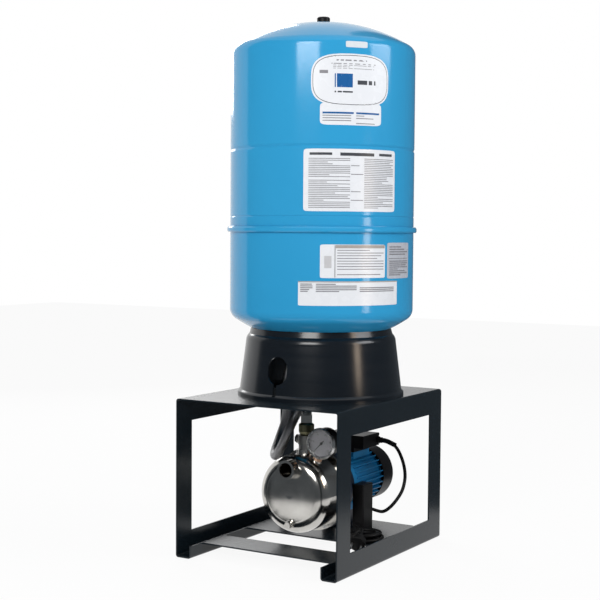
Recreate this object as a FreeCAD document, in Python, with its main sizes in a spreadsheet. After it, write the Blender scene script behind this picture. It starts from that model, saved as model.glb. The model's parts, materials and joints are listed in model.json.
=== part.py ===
import FreeCAD, Part

import math
import os
import re

import Sketcher

Vector = FreeCAD.Vector

# Booster pump: a steel stand carries a pressure tank above a close-coupled jet pump.
# Millimetres, +Z up, the pump's suction port faces -Y. Sizes and places are measured from the middle of
# the stand on the floor; place() then shifts all pieces so that the origin lies under the tank's axis.

sizes = {
    # Stand, bent from one sheet
    "stand_width": 386,
    "stand_depth": 464,
    "stand_height": 332,
    "sheet_wall": 3,
    "bend_radius": 6,
    "window_drop": 51,
    "window_sill": 48,
    "window_front": 51.5,
    "window_back": 56.6,
    "flange_width": 37.5,
    "lip_height": 26.5,
    "pipe_opening": 150,
    # Cross plates welded between the lips
    "plate_level": 26,
    "plate_corner": 18,
    "front_plate_gap": 45,
    "front_plate_depth": 80,
    "shelf_gap": 213,
    "shelf_depth": 217,
    # Tank base
    "tank_x": 9,
    "tank_y": 14.5,
    "foot_radius": 178,
    "foot_height": 9,
    "wall_foot_radius": 173.3,
    "wall_top_radius": 160.5,
    "wall_height": 114,
    "shoulder_radius": 22,
    "seat_radius": 150,
    "plinth_wall": 4,
    "hole_width": 46,
    "hole_height": 57,
    "hole_level": 61.5,
    "hole_shift": 6,
    "slot_width": 8,
    "slot_shift": 3,
    "screw_circle": 160,
    "screw_boss": 8,
    "boss_height": 26,
    "plinth_screw": 3,
    "screw_hex": 10,
    # Tank
    "tank_radius": 195.5,
    "tank_wall": 2,
    "low_tangent": 515.8,
    "low_crown": 332.3,
    "low_knuckle": 26.2,
    "top_tangent": 1050,
    "top_crown": 361.4,
    "top_knuckle": 22.1,
    "clench_level": 684,
    "clench_height": 13,
    "clench_proud": 6.5,
    "line_level": 710,
    "seam_level": 850,
    "seam_width": 9,
    "seam_depth": 1.8,
    "diaphragm_wall": 3,
    "diaphragm_knuckle": 60,
    "diaphragm_crown": 330,
    "diaphragm_skirt": 40,
    "neck_radius": 17,
    "neck_depth": 27,
    "water_bore": 12,
    "valve_radius": 6,
    "valve_bore": 2.4,
    "valve_height": 9,
    "valve_cap_radius": 13.8,
    "valve_cap_height": 13,
    # Pump wet end, measured along the pump's axis from the stand's middle
    "pump_height": 127,
    "casing_front": -97,
    "casing_radius": 83,
    "casing_wall": 2,
    "face_radius": 57,
    "face_dome": 4,
    "face_corner": 27,
    "shoulder_start": -68,
    "casing_back": -2,
    "clamp_radius": 90,
    "clamp_wall": 2.5,
    "clamp_circle": 86.2,
    "clamp_bolt": 2.5,
    "clamp_hex": 8,
    "suction_reach": -112,
    "suction_rise": 56,
    "suction_boss": 20.5,
    "pipe_bore": 15.2,
    "stack_y": -28,
    "discharge_rise": 89,
    "discharge_boss": 21,
    "prime_y": -55,
    "prime_angle": 30,
    "prime_rise": 86,
    "prime_boss": 11,
    "prime_thread": 8,
    "prime_hex": 17,
    "drain_drop": 61,
    "drain_boss": 9,
    "drain_thread": 5,
    "drain_hex": 12,
    "drain_reach": -103,
    "seal_plate_wall": 6,
    "seal_hub": 22,
    "seal_seat_radius": 15,
    "diffuser_front": -48,
    "diffuser_radius": 72,
    "diffuser_wall": 3,
    "ejector_front": -90,
    "ejector_radius": 17,
    "throat_radius": 6,
    "nozzle_radius": 4,
    "impeller_radius": 58,
    "impeller_front": -40,
    "impeller_width": 14,
    "shroud_wall": 2,
    "eye_radius": 16,
    "blade_count": 6,
    "running_gap": 0.3,
    # Motor
    "adapter_back": 72,
    "adapter_flange": 8,
    "adapter_wall": 5,
    "adapter_neck": 18,
    "shield_back": 92,
    "housing_back": 212,
    "housing_radius": 52,
    "housing_bore": 47,
    "fin_radius": 61,
    "fin_wall": 2.2,
    "fin_count": 30,
    "motor_shaft_radius": 7.5,
    "pump_shaft_radius": 6,
    "shaft_back": 250,
    "rotor_radius": 30,
    "rotor_front": 105,
    "rotor_length": 85,
    "air_gap": 0.4,
    "bearing_radius": 17.5,
    "bearing_width": 11,
    "fan_front": 222,
    "fan_width": 22,
    "fan_radius": 52,
    "fan_hub": 14,
    "fan_blades": 8,
    "cover_radius": 62,
    "cover_back": 261,
    "cover_wall": 2,
    "grille_ribs": 24,
    "foot_half_width": 55,
    "foot_from": 96,
    "foot_to": 156,
    "foot_wall": 5,
    "foot_stem": 34,
    "foot_screw": 4,
    # Terminal box on the motor
    "terminal_left": -45,
    "terminal_right": 57,
    "terminal_from": 122,
    "terminal_to": 196,
    "terminal_floor": 200,
    "terminal_lid_level": 222,
    "terminal_top": 228,
    "saddle_half_width": 32,
    "box_wall": 2.5,
    "capacitor_radius": 8.5,
    # Pipe stack on the discharge port
    "nipple_radius": 16.5,
    "tee_level": 236.5,
    "tee_half_height": 9.5,
    "tee_radius": 18,
    "side_port_radius": 9,
    "side_port_reach": 20.5,
    "side_port_bore": 5,
    "outlet_reach": 34,
    "outlet_radius": 13.2,
    "outlet_bore": 8,
    "plug_hex": 16,
    "plug_length": 4,
    "valve_hex": 32,
    "valve_body_height": 27,
    "valve_taper": 8,
    "seat_bore": 6.5,
    "spigot_radius": 9.5,
    "spring_wire": 0.7,
    "spring_turns": 4,
    "spigot_height": 10,
    "nut_flats": 24,
    "nut_height": 16,
    "nut_neck": 7.5,
    "hose_bore": 5.5,
    "ferrule_radius": 11,
    "ferrule_length": 28,
    "ferrule_grip": 4,
    # Braided hose
    "hose_radius": 10,
    # Pressure gauge
    "gauge_x": 62.4,
    "gauge_level": 239,
    "gauge_front": -78,
    "gauge_back": -42,
    "bezel_radius": 33,
    "gauge_case_radius": 31,
    "dial_radius": 28.5,
    "gauge_wall": 1.2,
    "elbow_radius": 7.5,
    "elbow_hex": 17,
    "elbow_bore": 3,
    # Control box beside the motor
    "control_left": 66.5,
    "control_right": 94,
    "control_front": 56,
    "control_back": 100,
    "control_lid_level": 128,
    "control_top": 134,
    "control_corner": 3,
    # Cables
    "cable_radius": 3.7,
    "cord_radius": 3.2,
    "gland_flats": 14,
    "gland_nut": 5,
    "gland_length": 11,
    "terminal_cable_y": 190,
    "terminal_cable_z": 212,
    "control_cable_x": 79,
    "control_cable_z": 71,
    "supply_cable_x": 80,
    "supply_cable_z": 42,
    "coil_x": 119,
    "coil_y": 17,
    "coil_outside": 42,
    "coil_inside": 21,
    "coil_height": 18.5,
    "coil_corner": 6,
    "plug_body_radius": 17,
    "plug_body_length": 36,
    "plug_pin_spread": 9.5,
    "plug_pin_radius": 2.4,
    "plug_pin_length": 19,
}

document = FreeCAD.newDocument("BoosterPump")
sheet = document.addObject("Spreadsheet::Sheet", "Sizes")
for row, (alias, number) in enumerate(sizes.items(), start=1):
    sheet.set(f"A{row}", alias)
    sheet.set(f"B{row}", str(number))
    sheet.setAlias(f"B{row}", alias)
document.recompute()

nodes = []

directions = {
    "Z": Vector(0, 0, 1),
    "-Z": Vector(0, 0, -1),
    "Y": Vector(0, 1, 0),
    "-Y": Vector(0, -1, 0),
    "X": Vector(1, 0, 0),
    "-X": Vector(-1, 0, 0),
}


def linked(text):
    """The expression with every size name pointed at the sheet."""
    return re.sub(r"[a-z]\w*", lambda word: "Sizes." + word[0] if word[0] in sizes else word[0], text)


def size(text):
    """The number that an expression of size names comes to."""
    return float(sheet.evalExpression(linked(text)))


def place(thing, at, along="Z"):
    """Stand a piece's own Z axis along a direction, with its base point tied to the sheet."""
    direction = directions[along] if isinstance(along, str) else along
    turn = FreeCAD.Rotation(Vector(0, 0, 1), direction)
    if along in ("Y", "-Y"):
        turn = FreeCAD.Rotation(Vector(1, 0, 0), -90 if along == "Y" else 90)
    texts = [f"({text}) - {shift}" for text, shift in zip(at, ("tank_x", "tank_y", "0"))]
    thing.Placement = FreeCAD.Placement(Vector(*[size(text) for text in texts]), turn)
    for letter, text in zip("xyz", texts):
        thing.setExpression(f"Placement.Base.{letter}", linked(text))
    return thing


def keep(thing, name):
    """Register a finished sub-part under its node name."""
    thing.Label = name
    nodes.append(thing)
    return thing


def new_body(name, at=("0", "0", "0"), along="Z"):
    body = document.addObject("PartDesign::Body", name)
    body.Label = name
    return place(body, at, along)


def origin_item(body, role):
    return next(item for item in body.Origin.OriginFeatures if item.Role == role)


def arc_between(start, end, radius, turn):
    """A circular arc shorter than half a turn; turn is 1 for anticlockwise travel and -1 for clockwise."""
    chord = end.sub(start)
    rise = math.sqrt(max(radius**2 - (chord.Length / 2) ** 2, 0))
    middle = start.add(end).multiply(0.5)
    side = Vector(-chord.y, chord.x, 0).normalize().multiply(turn * rise)
    centre = middle.add(side)
    first, last = (start, end) if turn > 0 else (end, start)
    angles = [math.atan2(point.y - centre.y, point.x - centre.x) for point in (first, last)]
    return Part.ArcOfCircle(Part.Circle(centre, Vector(0, 0, 1), radius), angles[0], angles[1])


def tie(sketch, constraint, text):
    """Add a dimension and bind it to its expression."""
    index = sketch.addConstraint(constraint)
    sketch.setExpression(f"Constraints[{index}]", linked(text))


def add_outline(sketch, points):
    """A closed outline: each point is (x, y), or (x, y, radius, turn) where an arc leads to the next."""
    corners = [Vector(size(point[0]), size(point[1]), 0) for point in points]
    first = sketch.GeometryCount
    ends = []
    for number, point in enumerate(points):
        start = corners[number]
        end = corners[(number + 1) % len(points)]
        if len(point) == 2:
            sketch.addGeometry(Part.LineSegment(start, end), False)
            ends.append((1, 2))
        else:
            sketch.addGeometry(arc_between(start, end, size(point[2]), point[3]), False)
            ends.append((1, 2) if point[3] > 0 else (2, 1))
    for number, point in enumerate(points):
        edge = first + number
        following = (number + 1) % len(points)
        sketch.addConstraint(
            Sketcher.Constraint("Coincident", edge, ends[number][1], first + following, ends[following][0])
        )
        start = ends[number][0]
        tie(sketch, Sketcher.Constraint("DistanceX", -1, 1, edge, start, corners[number].x), point[0])
        tie(sketch, Sketcher.Constraint("DistanceY", -1, 1, edge, start, corners[number].y), point[1])
        if len(point) > 2:
            tie(sketch, Sketcher.Constraint("Radius", edge, size(point[2])), point[2])


def add_circle(sketch, centre_x, centre_y, radius):
    index = sketch.addGeometry(
        Part.Circle(Vector(size(centre_x), size(centre_y), 0), Vector(0, 0, 1), size(radius)), False
    )
    tie(sketch, Sketcher.Constraint("DistanceX", -1, 1, index, 3, size(centre_x)), centre_x)
    tie(sketch, Sketcher.Constraint("DistanceY", -1, 1, index, 3, size(centre_y)), centre_y)
    tie(sketch, Sketcher.Constraint("Radius", index, size(radius)), radius)


def new_sketch(body, role, outlines=(), circles=(), offset="0"):
    sketch = body.newObject("Sketcher::SketchObject", body.Label + "_sketch")
    sketch.AttachmentSupport = [(origin_item(body, role), "")]
    sketch.MapMode = "FlatFace"
    sketch.AttachmentOffset = FreeCAD.Placement(Vector(0, 0, size(offset)), FreeCAD.Rotation())
    sketch.setExpression("AttachmentOffset.Base.z", linked(offset))
    for outline in outlines:
        add_outline(sketch, outline)
    for circle in circles:
        add_circle(sketch, *circle)
    return sketch


def feature(body, kind, sketch, length=None, symmetric=False, reverse=False):
    """Pad or Pocket a sketch."""
    made = body.newObject("PartDesign::" + kind, f"{body.Label}_{kind.lower()}")
    made.Profile = sketch
    made.Reversed = reverse
    if symmetric:
        made.SideType = "Symmetric"
    if length is None:
        made.Type = "ThroughAll"
    else:
        made.Length = size(length)
        made.setExpression("Length", linked(length))
    document.recompute()
    return made


def turn_profile(body, kind, outline):
    """Revolution or Groove of an outline of (radius, height) points about the body's Z axis."""
    sketch = new_sketch(body, "XZ_Plane", [outline])
    made = body.newObject("PartDesign::" + kind, f"{body.Label}_{kind.lower()}")
    made.Profile = sketch
    made.ReferenceAxis = (sketch, ["V_Axis"])
    made.Angle = 360
    document.recompute()
    return made


def turned(name, outline, at=("0", "0", "0"), along="Z"):
    body = new_body(name, at, along)
    turn_profile(body, "Revolution", outline)
    return body


def polar(body, original, count):
    """Repeat a feature evenly about the body's Z axis."""
    pattern = body.newObject("PartDesign::PolarPattern", body.Label + "_pattern")
    pattern.Originals = [original]
    pattern.Axis = (origin_item(body, "Z_Axis"), [""])
    pattern.Angle = 360
    pattern.Occurrences = int(size(count))
    pattern.setExpression("Occurrences", linked(count))
    body.Tip = pattern
    document.recompute()
    return pattern


def fillet(body, radius, chosen):
    """Round the edges of the body's tip that the test picks."""
    base = body.Tip
    names = [f"Edge{index}" for index, edge in enumerate(base.Shape.Edges, start=1) if chosen(edge)]
    made = body.newObject("PartDesign::Fillet", body.Label + "_fillet")
    made.Base = (base, names)
    made.Radius = size(radius)
    made.setExpression("Radius", linked(radius))
    document.recompute()
    return made


def primitive(kind, label, at, along="Z", **texts):
    thing = document.addObject("Part::" + kind, label)
    for name, text in texts.items():
        if isinstance(text, str):
            setattr(thing, name, size(text))
            thing.setExpression(name, linked(text))
        else:
            setattr(thing, name, text)
    return place(thing, at, along)


def cylinder(label, radius, height, at, along="Z"):
    return primitive("Cylinder", label, at, along, Radius=radius, Height=height)


def hexagon(label, flats, height, at, along="Z"):
    return primitive("Prism", label, at, along, Polygon=6, Circumradius=f"{flats} / sqrt(3)", Height=height)


def box(label, low, high):
    """A box between two corners given as texts."""
    spans = [f"({top}) - ({bottom})" for bottom, top in zip(low, high)]
    return primitive("Box", label, low, Length=spans[0], Width=spans[1], Height=spans[2])


def fused(label, pieces):
    made = document.addObject("Part::MultiFuse", label)
    made.Shapes = pieces
    made.Refine = True
    return made


def cut(label, base, tools):
    made = document.addObject("Part::Cut", label)
    made.Base = base
    made.Tool = tools[0] if len(tools) == 1 else fused(label + "_tools", tools)
    made.Refine = True
    return made


def grouped(label, pieces):
    made = document.addObject("Part::Compound", label)
    made.Links = pieces
    return made


def rectangle(left, low, right, top):
    return [(left, low), (right, low), (right, top), (left, top)]


def head(radius, crown, knuckle, tangent, sense, wall="0", hole="0"):
    """The arc points of a dished tank head: side, knuckle end and crown end, sense 1 for a top head."""
    reach = f"({radius} - {knuckle})"
    drop = f"sqrt(({crown} - {knuckle})^2 - {reach}^2)"
    share = f"({crown} - {wall}) / ({crown} - {knuckle})"
    side = (f"{radius} - {wall}", tangent)
    meet = (f"{reach} * {share}", f"{tangent} + {sense} * {drop} * ({share} - 1)")
    crown_rise = f"sqrt(({crown} - {wall})^2 - ({hole})^2)"
    end = (hole, f"{tangent} - {sense} * {drop} + {sense} * {crown_rise}")
    return side, meet, end


def stand_frame():
    body = new_body("stand_frame")
    half = "stand_width / 2"
    lip = "(stand_width / 2 - flange_width)"
    wall = "sheet_wall"
    right = [
        (lip, "lip_height"),
        (lip, "0"),
        (half, "0"),
        (half, "stand_height"),
    ]
    inner = [
        (f"{half} - {wall}", f"stand_height - {wall}"),
        (f"{half} - {wall}", wall),
        (f"{lip} + {wall}", wall),
        (f"{lip} + {wall}", "lip_height"),
    ]
    mirrored = [(f"-({x})", z) for x, z in reversed(right)]
    inner_mirrored = [(f"-({x})", z) for x, z in reversed(inner)]
    sketch = new_sketch(body, "XZ_Plane", [right + mirrored + inner_mirrored + inner])
    feature(body, "Pad", sketch, "stand_depth", symmetric=True)

    def bends(points):
        spots = [(size(x) * mirror, size(z)) for x, z in points for mirror in (1, -1)]

        def picked(edge):
            middle = edge.CenterOfMass
            runs_along = abs(edge.Length - size("stand_depth")) < 0.1
            return runs_along and any(math.hypot(middle.x - x, middle.z - z) < 0.1 for x, z in spots)

        return picked

    fillet(body, "bend_radius", bends(right[1:]))
    fillet(body, "bend_radius - sheet_wall", bends(inner[:3]))
    windows = new_sketch(
        body,
        "YZ_Plane",
        [
            rectangle(
                "window_front - stand_depth / 2",
                "window_sill",
                "stand_depth / 2 - window_back",
                "stand_height - window_drop",
            )
        ],
    )
    feature(body, "Pocket", windows, symmetric=True)
    opening = new_sketch(body, "XY_Plane", circles=[("tank_x", "tank_y", "pipe_opening")], offset="stand_height")
    feature(body, "Pocket", opening, "2 * sheet_wall")
    holes = [(x, y, "plinth_screw + 0.3") for x, y in plinth_screw_spots("screw_circle")]
    feature(body, "Pocket", new_sketch(body, "XY_Plane", circles=holes, offset="stand_height"), "2 * sheet_wall")
    keep(body, "stand_frame")


def welded_plate(name, front, depth, rounded_corners):
    body = new_body(name, ("0", f"{front} - stand_depth / 2", "plate_level - sheet_wall"))
    half = "(stand_width / 2 - flange_width)"
    sketch = new_sketch(body, "XY_Plane", [rectangle(f"-{half}", "0", half, depth)])
    feature(body, "Pad", sketch, "sheet_wall")
    if rounded_corners:
        upright = size("sheet_wall")
        fillet(body, "plate_corner", lambda edge: abs(edge.Length - upright) < 0.01 and edge.CenterOfMass.y > 1)
    keep(body, name)


def head_level(radius):
    """Height above the top plate of the clearance face under the tank's bottom head, at a radius."""
    return f"{low_apex()} + low_crown - sqrt(low_crown^2 - {radius}^2) - running_gap - stand_height"


def plinth_screw_spots(circle):
    return [(f"tank_x + {circle} * cos({angle})", f"tank_y + {circle} * sin({angle})") for angle in (45, 135, 225, 315)]


def tank_plinth():
    """A moulded ring that tapers up from its foot, with a round shoulder and a lip under the tank's head."""
    at = ("tank_x", "tank_y", "stand_height")
    shoulder_end = "(wall_top_radius - shoulder_radius * (1 - cos(48)))"
    shoulder_top = "(wall_height + shoulder_radius * sin(48))"
    outline = [
        ("foot_radius", "0"),
        ("foot_radius", "foot_height - 2"),
        ("foot_radius - 1.5", "foot_height"),
        ("wall_foot_radius", "foot_height + 3"),
        ("wall_top_radius", "wall_height", "shoulder_radius", 1),
        (shoulder_end, shoulder_top),
        ("seat_radius", head_level("seat_radius")),
        ("seat_radius - plinth_wall", head_level("(seat_radius - plinth_wall)")),
        (f"{shoulder_end} - plinth_wall", shoulder_top, "shoulder_radius", -1),
        ("wall_top_radius - plinth_wall", "wall_height"),
        ("wall_foot_radius - plinth_wall", "foot_height + 3"),
        ("wall_foot_radius - plinth_wall", "0"),
    ]
    shell = turned("plinth_shell", outline, at)
    pieces = [shell]
    holes = []
    for number, (x, y) in enumerate(plinth_screw_spots("screw_circle")):
        pieces.append(cylinder(f"plinth_boss_{number}", "screw_boss", "boss_height", (x, y, "stand_height")))
        holes.append(cylinder(f"plinth_hole_{number}", "plinth_screw", "boss_height - 4", (x, y, "stand_height")))
    for number, (x, y) in enumerate(plinth_screw_spots("(screw_circle + 2)")):
        pieces.append(cylinder(f"plinth_web_{number}", "screw_boss", "boss_height", (x, y, "stand_height")))
    window = new_body("plinth_window", ("tank_x - hole_shift", "tank_y", "stand_height + hole_level"), "-Y")
    half_width = "hole_width / 2"
    straight = "(hole_height - hole_width) / 2"
    slot = "slot_width / 2"
    depth_below = "hole_level - foot_height"
    oval = [
        (half_width, straight, half_width, 1),
        ("0", f"{straight} + {half_width}", half_width, 1),
        (f"-{half_width}", straight),
        (f"-{half_width}", f"-{straight}", half_width, 1),
        ("0", f"-({straight} + {half_width})", half_width, 1),
        (half_width, f"-{straight}"),
    ]
    feature(window, "Pad", new_sketch(window, "XY_Plane", [oval]), "foot_radius + 2")
    slit_outline = rectangle(f"-{slot} - slot_shift", f"-({depth_below})", f"{slot} - slot_shift", "0")
    feature(window, "Pad", new_sketch(window, "XY_Plane", [slit_outline]), "foot_radius + 2")
    keep(cut("tank_plinth", fused("plinth_solid", pieces), [window] + holes), "tank_plinth")


def plinth_screws():
    """Hexagon screws from under the top plate into the plinth's bosses."""
    screws = []
    under = "stand_height - sheet_wall"
    for number, (x, y) in enumerate(plinth_screw_spots("screw_circle")):
        shank = cylinder(f"screw_shank_{number}", "plinth_screw - 0.1", "sheet_wall + boss_height - 6", (x, y, under))
        hexed = hexagon(f"screw_head_{number}", "screw_hex", "4", (x, y, f"{under} - 4"))
        screws.append(fused(f"plinth_screw_{number}", [shank, hexed]))
    keep(grouped("plinth_screws", screws), "plinth_screws")


def tank_shells():
    at = ("tank_x", "tank_y", "0")
    low = ("tank_radius", "low_crown", "low_knuckle", "low_tangent", -1)
    side, meet, end = head(*low, hole="neck_radius")
    side_in, meet_in, end_in = head(*low, wall="tank_wall", hole="neck_radius")
    outline = [
        (*end, "low_crown", 1),
        (*meet, "low_knuckle", 1),
        side,
        ("tank_radius", "clench_level"),
        ("tank_radius - tank_wall", "clench_level"),
        (*side_in, "low_knuckle - tank_wall", -1),
        (*meet_in, "low_crown - tank_wall", -1),
        end_in,
    ]
    keep(turned("tank_lower_shell", outline, at), "tank_lower_shell")

    top = ("tank_radius", "top_crown", "top_knuckle", "top_tangent", 1)
    side, meet, end = head(*top, hole="valve_radius")
    side_in, meet_in, end_in = head(*top, wall="tank_wall", hole="valve_radius")
    half_seam = "seam_width / 2"
    outline = [
        ("tank_radius", "clench_level"),
        ("tank_radius", "line_level - 2"),
        ("tank_radius - 0.9", "line_level"),
        ("tank_radius", "line_level + 2"),
        ("tank_radius", f"seam_level - {half_seam}"),
        ("tank_radius - seam_depth", "seam_level"),
        ("tank_radius", f"seam_level + {half_seam}"),
        (*side, "top_knuckle", 1),
        (*meet, "top_crown", 1),
        end,
        (*end_in, "top_crown - tank_wall", -1),
        (*meet_in, "top_knuckle - tank_wall", -1),
        side_in,
        ("tank_radius - tank_wall", f"seam_level + {half_seam}"),
        ("tank_radius - tank_wall - seam_depth", "seam_level"),
        ("tank_radius - tank_wall", f"seam_level - {half_seam}"),
        ("tank_radius - tank_wall", "clench_level"),
    ]
    keep(turned("tank_upper_shell", outline, at), "tank_upper_shell")


def tank_clench_ring():
    """The rolled ring that closes the two halves over the diaphragm's rim."""
    low = "clench_level - clench_height / 2"
    top = "clench_level + clench_height / 2"
    outline = [
        ("tank_radius", low),
        ("tank_radius + clench_proud - 2", low),
        ("tank_radius + clench_proud", f"{low} + 2.5"),
        ("tank_radius + clench_proud", f"{top} - 5"),
        ("tank_radius + clench_proud - 2", f"{top} - 1.5"),
        ("tank_radius", top),
    ]
    keep(turned("tank_clench_ring", outline, ("tank_x", "tank_y", "0")), "tank_clench_ring")


def tank_diaphragm():
    radius = "(tank_radius - tank_wall - running_gap)"
    shape = (radius, "diaphragm_crown", "diaphragm_knuckle", "clench_level - diaphragm_skirt", -1)
    side, meet, end = head(*shape)
    side_in, meet_in, end_in = head(*shape, wall="diaphragm_wall")
    outline = [
        (*end, "diaphragm_crown", 1),
        (*meet, "diaphragm_knuckle", 1),
        side,
        (radius, "clench_level + clench_height / 2"),
        (f"{radius} - diaphragm_wall", "clench_level + clench_height / 2"),
        (*side_in, "diaphragm_knuckle - diaphragm_wall", -1),
        (*meet_in, "diaphragm_crown - diaphragm_wall", -1),
        end_in,
    ]
    keep(turned("tank_diaphragm", outline, ("tank_x", "tank_y", "0")), "tank_diaphragm")


def low_apex():
    """Height of the lowest point of the tank's bottom head."""
    reach = "(tank_radius - low_knuckle)"
    return f"(low_tangent + sqrt((low_crown - low_knuckle)^2 - {reach}^2) - low_crown)"


def top_apex():
    reach = "(tank_radius - top_knuckle)"
    return f"(top_tangent - sqrt((top_crown - top_knuckle)^2 - {reach}^2) + top_crown)"


def tank_inlet():
    """Water connection welded in the bottom head, with a male end for the hose nut."""
    apex = low_apex()
    outline = [
        ("water_bore - 3", f"{apex} - neck_depth - spigot_height"),
        ("spigot_radius", f"{apex} - neck_depth - spigot_height"),
        ("spigot_radius", f"{apex} - neck_depth"),
        ("neck_radius + 3", f"{apex} - neck_depth"),
        ("neck_radius + 3", f"{apex} - 4"),
        ("neck_radius", f"{apex} - 4"),
        ("neck_radius", f"{apex} + 8"),
        ("water_bore - 3", f"{apex} + 8"),
    ]
    keep(turned("tank_inlet", outline, ("tank_x", "tank_y", "0")), "tank_inlet")


def air_valve():
    """Charging valve in the top head: stem, spring-loaded core and dust cap."""
    at = ("tank_x", "tank_y", top_apex())
    stem = [
        ("valve_bore", "-6"),
        ("valve_radius - 0.1", "-6"),
        ("valve_radius - 0.1", "0.3"),
        ("valve_radius + 3", "0.3"),
        ("valve_radius + 3", "2.8"),
        ("valve_radius - 2", "2.8"),
        ("valve_radius - 2", "valve_height"),
        ("valve_bore", "valve_height"),
    ]
    keep(turned("air_valve_stem", stem, at), "air_valve_stem")
    core = [
        ("0", "-3"),
        ("valve_bore - 0.1", "-3"),
        ("valve_bore - 0.1", "valve_height - 5"),
        ("0.9", "valve_height - 4"),
        ("0.9", "valve_height - 0.8"),
        ("0", "valve_height - 0.8"),
    ]
    keep(turned("air_valve_core", core, at), "air_valve_core")
    cap = [
        ("valve_radius + 3.4", "0.6"),
        ("valve_cap_radius", "0.6"),
        ("valve_cap_radius", "valve_cap_height - 2"),
        ("valve_cap_radius - 2", "valve_cap_height"),
        ("0", "valve_cap_height"),
        ("0", "valve_height + 1"),
        ("valve_radius - 1.7", "valve_height + 1"),
        ("valve_radius - 1.7", "3.2"),
        ("valve_radius + 3.4", "3.2"),
    ]
    keep(turned("air_valve_cap", cap, at), "air_valve_cap")


pump_axis = ("0", "0", "pump_height")


def pump_casing():
    """Pressed stainless can with a domed face, welded port rings and a rolled clamp flange."""
    crown = "((face_radius^2 + face_dome^2) / (2 * face_dome))"
    inner_face = f"casing_front + {crown} - sqrt(({crown} - casing_wall)^2 - (face_radius - 0.5)^2)"
    outline = [
        ("0", "casing_front", crown, 1),
        ("face_radius", "casing_front + face_dome", "face_corner", 1),
        ("casing_radius", "shoulder_start"),
        ("casing_radius", "casing_back - clamp_wall"),
        ("clamp_radius", "casing_back - clamp_wall"),
        ("clamp_radius", "casing_back"),
        ("casing_radius - casing_wall", "casing_back"),
        ("casing_radius - casing_wall", "shoulder_start", "face_corner - casing_wall", -1),
        ("face_radius - 0.5", inner_face, f"{crown} - casing_wall", -1),
        ("0", "casing_front + casing_wall"),
    ]
    shell = turned("casing_shell", outline, pump_axis, "Y")
    suction_at = ("0", "suction_reach", "pump_height + suction_rise")
    discharge_at = ("0", "stack_y", "pump_height + casing_radius - 6")
    prime_way = Vector(math.sin(math.radians(size("prime_angle"))), 0, math.cos(math.radians(size("prime_angle"))))
    prime_at = (
        "(casing_radius - 5) * sin(prime_angle)",
        "prime_y",
        "pump_height + (casing_radius - 5) * cos(prime_angle)",
    )
    drain_at = ("0", "drain_reach + 6", "pump_height - drain_drop")
    bosses = [
        cylinder("suction_ring", "suction_boss", "shoulder_start - suction_reach - 12", suction_at, "Y"),
        cylinder("discharge_ring", "discharge_boss", "discharge_rise - casing_radius + 6", discharge_at),
        cylinder("prime_ring", "prime_boss", "prime_rise - casing_radius + 5", prime_at, prime_way),
        cylinder("drain_ring", "drain_boss", "12", drain_at, "Y"),
    ]
    bores = [
        cylinder("suction_bore", "pipe_bore", "60", suction_at, "Y"),
        cylinder("discharge_bore", "nipple_radius + 0.1", "40", ("0", "stack_y", "pump_height + 60")),
        cylinder("prime_bore", "prime_thread", "prime_rise + 10", ("0", "prime_y", "pump_height"), prime_way),
        cylinder("drain_bore", "drain_thread", "30", drain_at, "Y"),
    ]
    for number in range(8):
        angle = 45 * number + 22.5
        spot = (f"clamp_circle * cos({angle})", "casing_back - 10", f"pump_height + clamp_circle * sin({angle})")
        bores.append(cylinder(f"clamp_hole_{number}", "clamp_bolt + 0.3", "20", spot, "Y"))
    keep(cut("pump_casing", fused("casing_solid", [shell] + bosses), bores), "pump_casing")


def casing_bolts():
    bolts = []
    for number in range(8):
        angle = 45 * number + 22.5
        x = f"clamp_circle * cos({angle})"
        z = f"pump_height + clamp_circle * sin({angle})"
        front = "casing_back - clamp_wall"
        grip = "clamp_wall + seal_plate_wall + adapter_flange"
        shank = cylinder(f"bolt_shank_{number}", "clamp_bolt", grip, (x, front, z), "Y")
        hexed = hexagon(f"bolt_head_{number}", "clamp_hex", "4", (x, f"{front} + {grip}", z), "Y")
        bolts.append(fused(f"casing_bolt_{number}", [shank, hexed]))
    keep(grouped("casing_bolts", bolts), "casing_bolts")


def seal_plate():
    """Stainless back cover of the casing with the hub that holds the shaft seal's seat."""
    back = "casing_back + seal_plate_wall"
    outline = [
        ("seal_seat_radius", "casing_back - 4"),
        ("seal_hub", "casing_back - 4"),
        ("seal_hub", "casing_back"),
        ("clamp_radius", "casing_back"),
        ("clamp_radius", back),
        ("pump_shaft_radius + 3", back),
        ("pump_shaft_radius + 3", f"{back} - 3"),
        ("seal_seat_radius", f"{back} - 3"),
    ]
    plate = turned("seal_plate_blank", outline, pump_axis, "Y")
    holes = []
    for number in range(8):
        angle = 45 * number + 22.5
        spot = (f"clamp_circle * cos({angle})", "casing_back - 5", f"pump_height + clamp_circle * sin({angle})")
        holes.append(cylinder(f"seal_plate_hole_{number}", "clamp_bolt + 0.3", "seal_plate_wall + 10", spot, "Y"))
    keep(cut("seal_plate", plate, holes), "seal_plate")


def shaft_seal():
    seat = [
        ("pump_shaft_radius + 1", "casing_back - 5"),
        ("seal_seat_radius - 0.05", "casing_back - 5"),
        ("seal_seat_radius - 0.05", "casing_back + 3"),
        ("pump_shaft_radius + 1", "casing_back + 3"),
    ]
    keep(turned("seal_seat", seat, pump_axis, "Y"), "seal_seat")
    impeller_back = "impeller_front + impeller_width"
    ring = [
        ("pump_shaft_radius", f"{impeller_back} + 2"),
        ("pump_shaft_radius + 5", f"{impeller_back} + 2"),
        ("pump_shaft_radius + 5", f"{impeller_back} + 8"),
        ("pump_shaft_radius + 7", f"{impeller_back} + 8"),
        ("pump_shaft_radius + 7", "casing_back - 6"),
        ("pump_shaft_radius + 4", "casing_back - 5 - running_gap"),
        ("pump_shaft_radius", "casing_back - 5 - running_gap"),
    ]
    keep(turned("seal_ring", ring, pump_axis, "Y"), "seal_ring")


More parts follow.
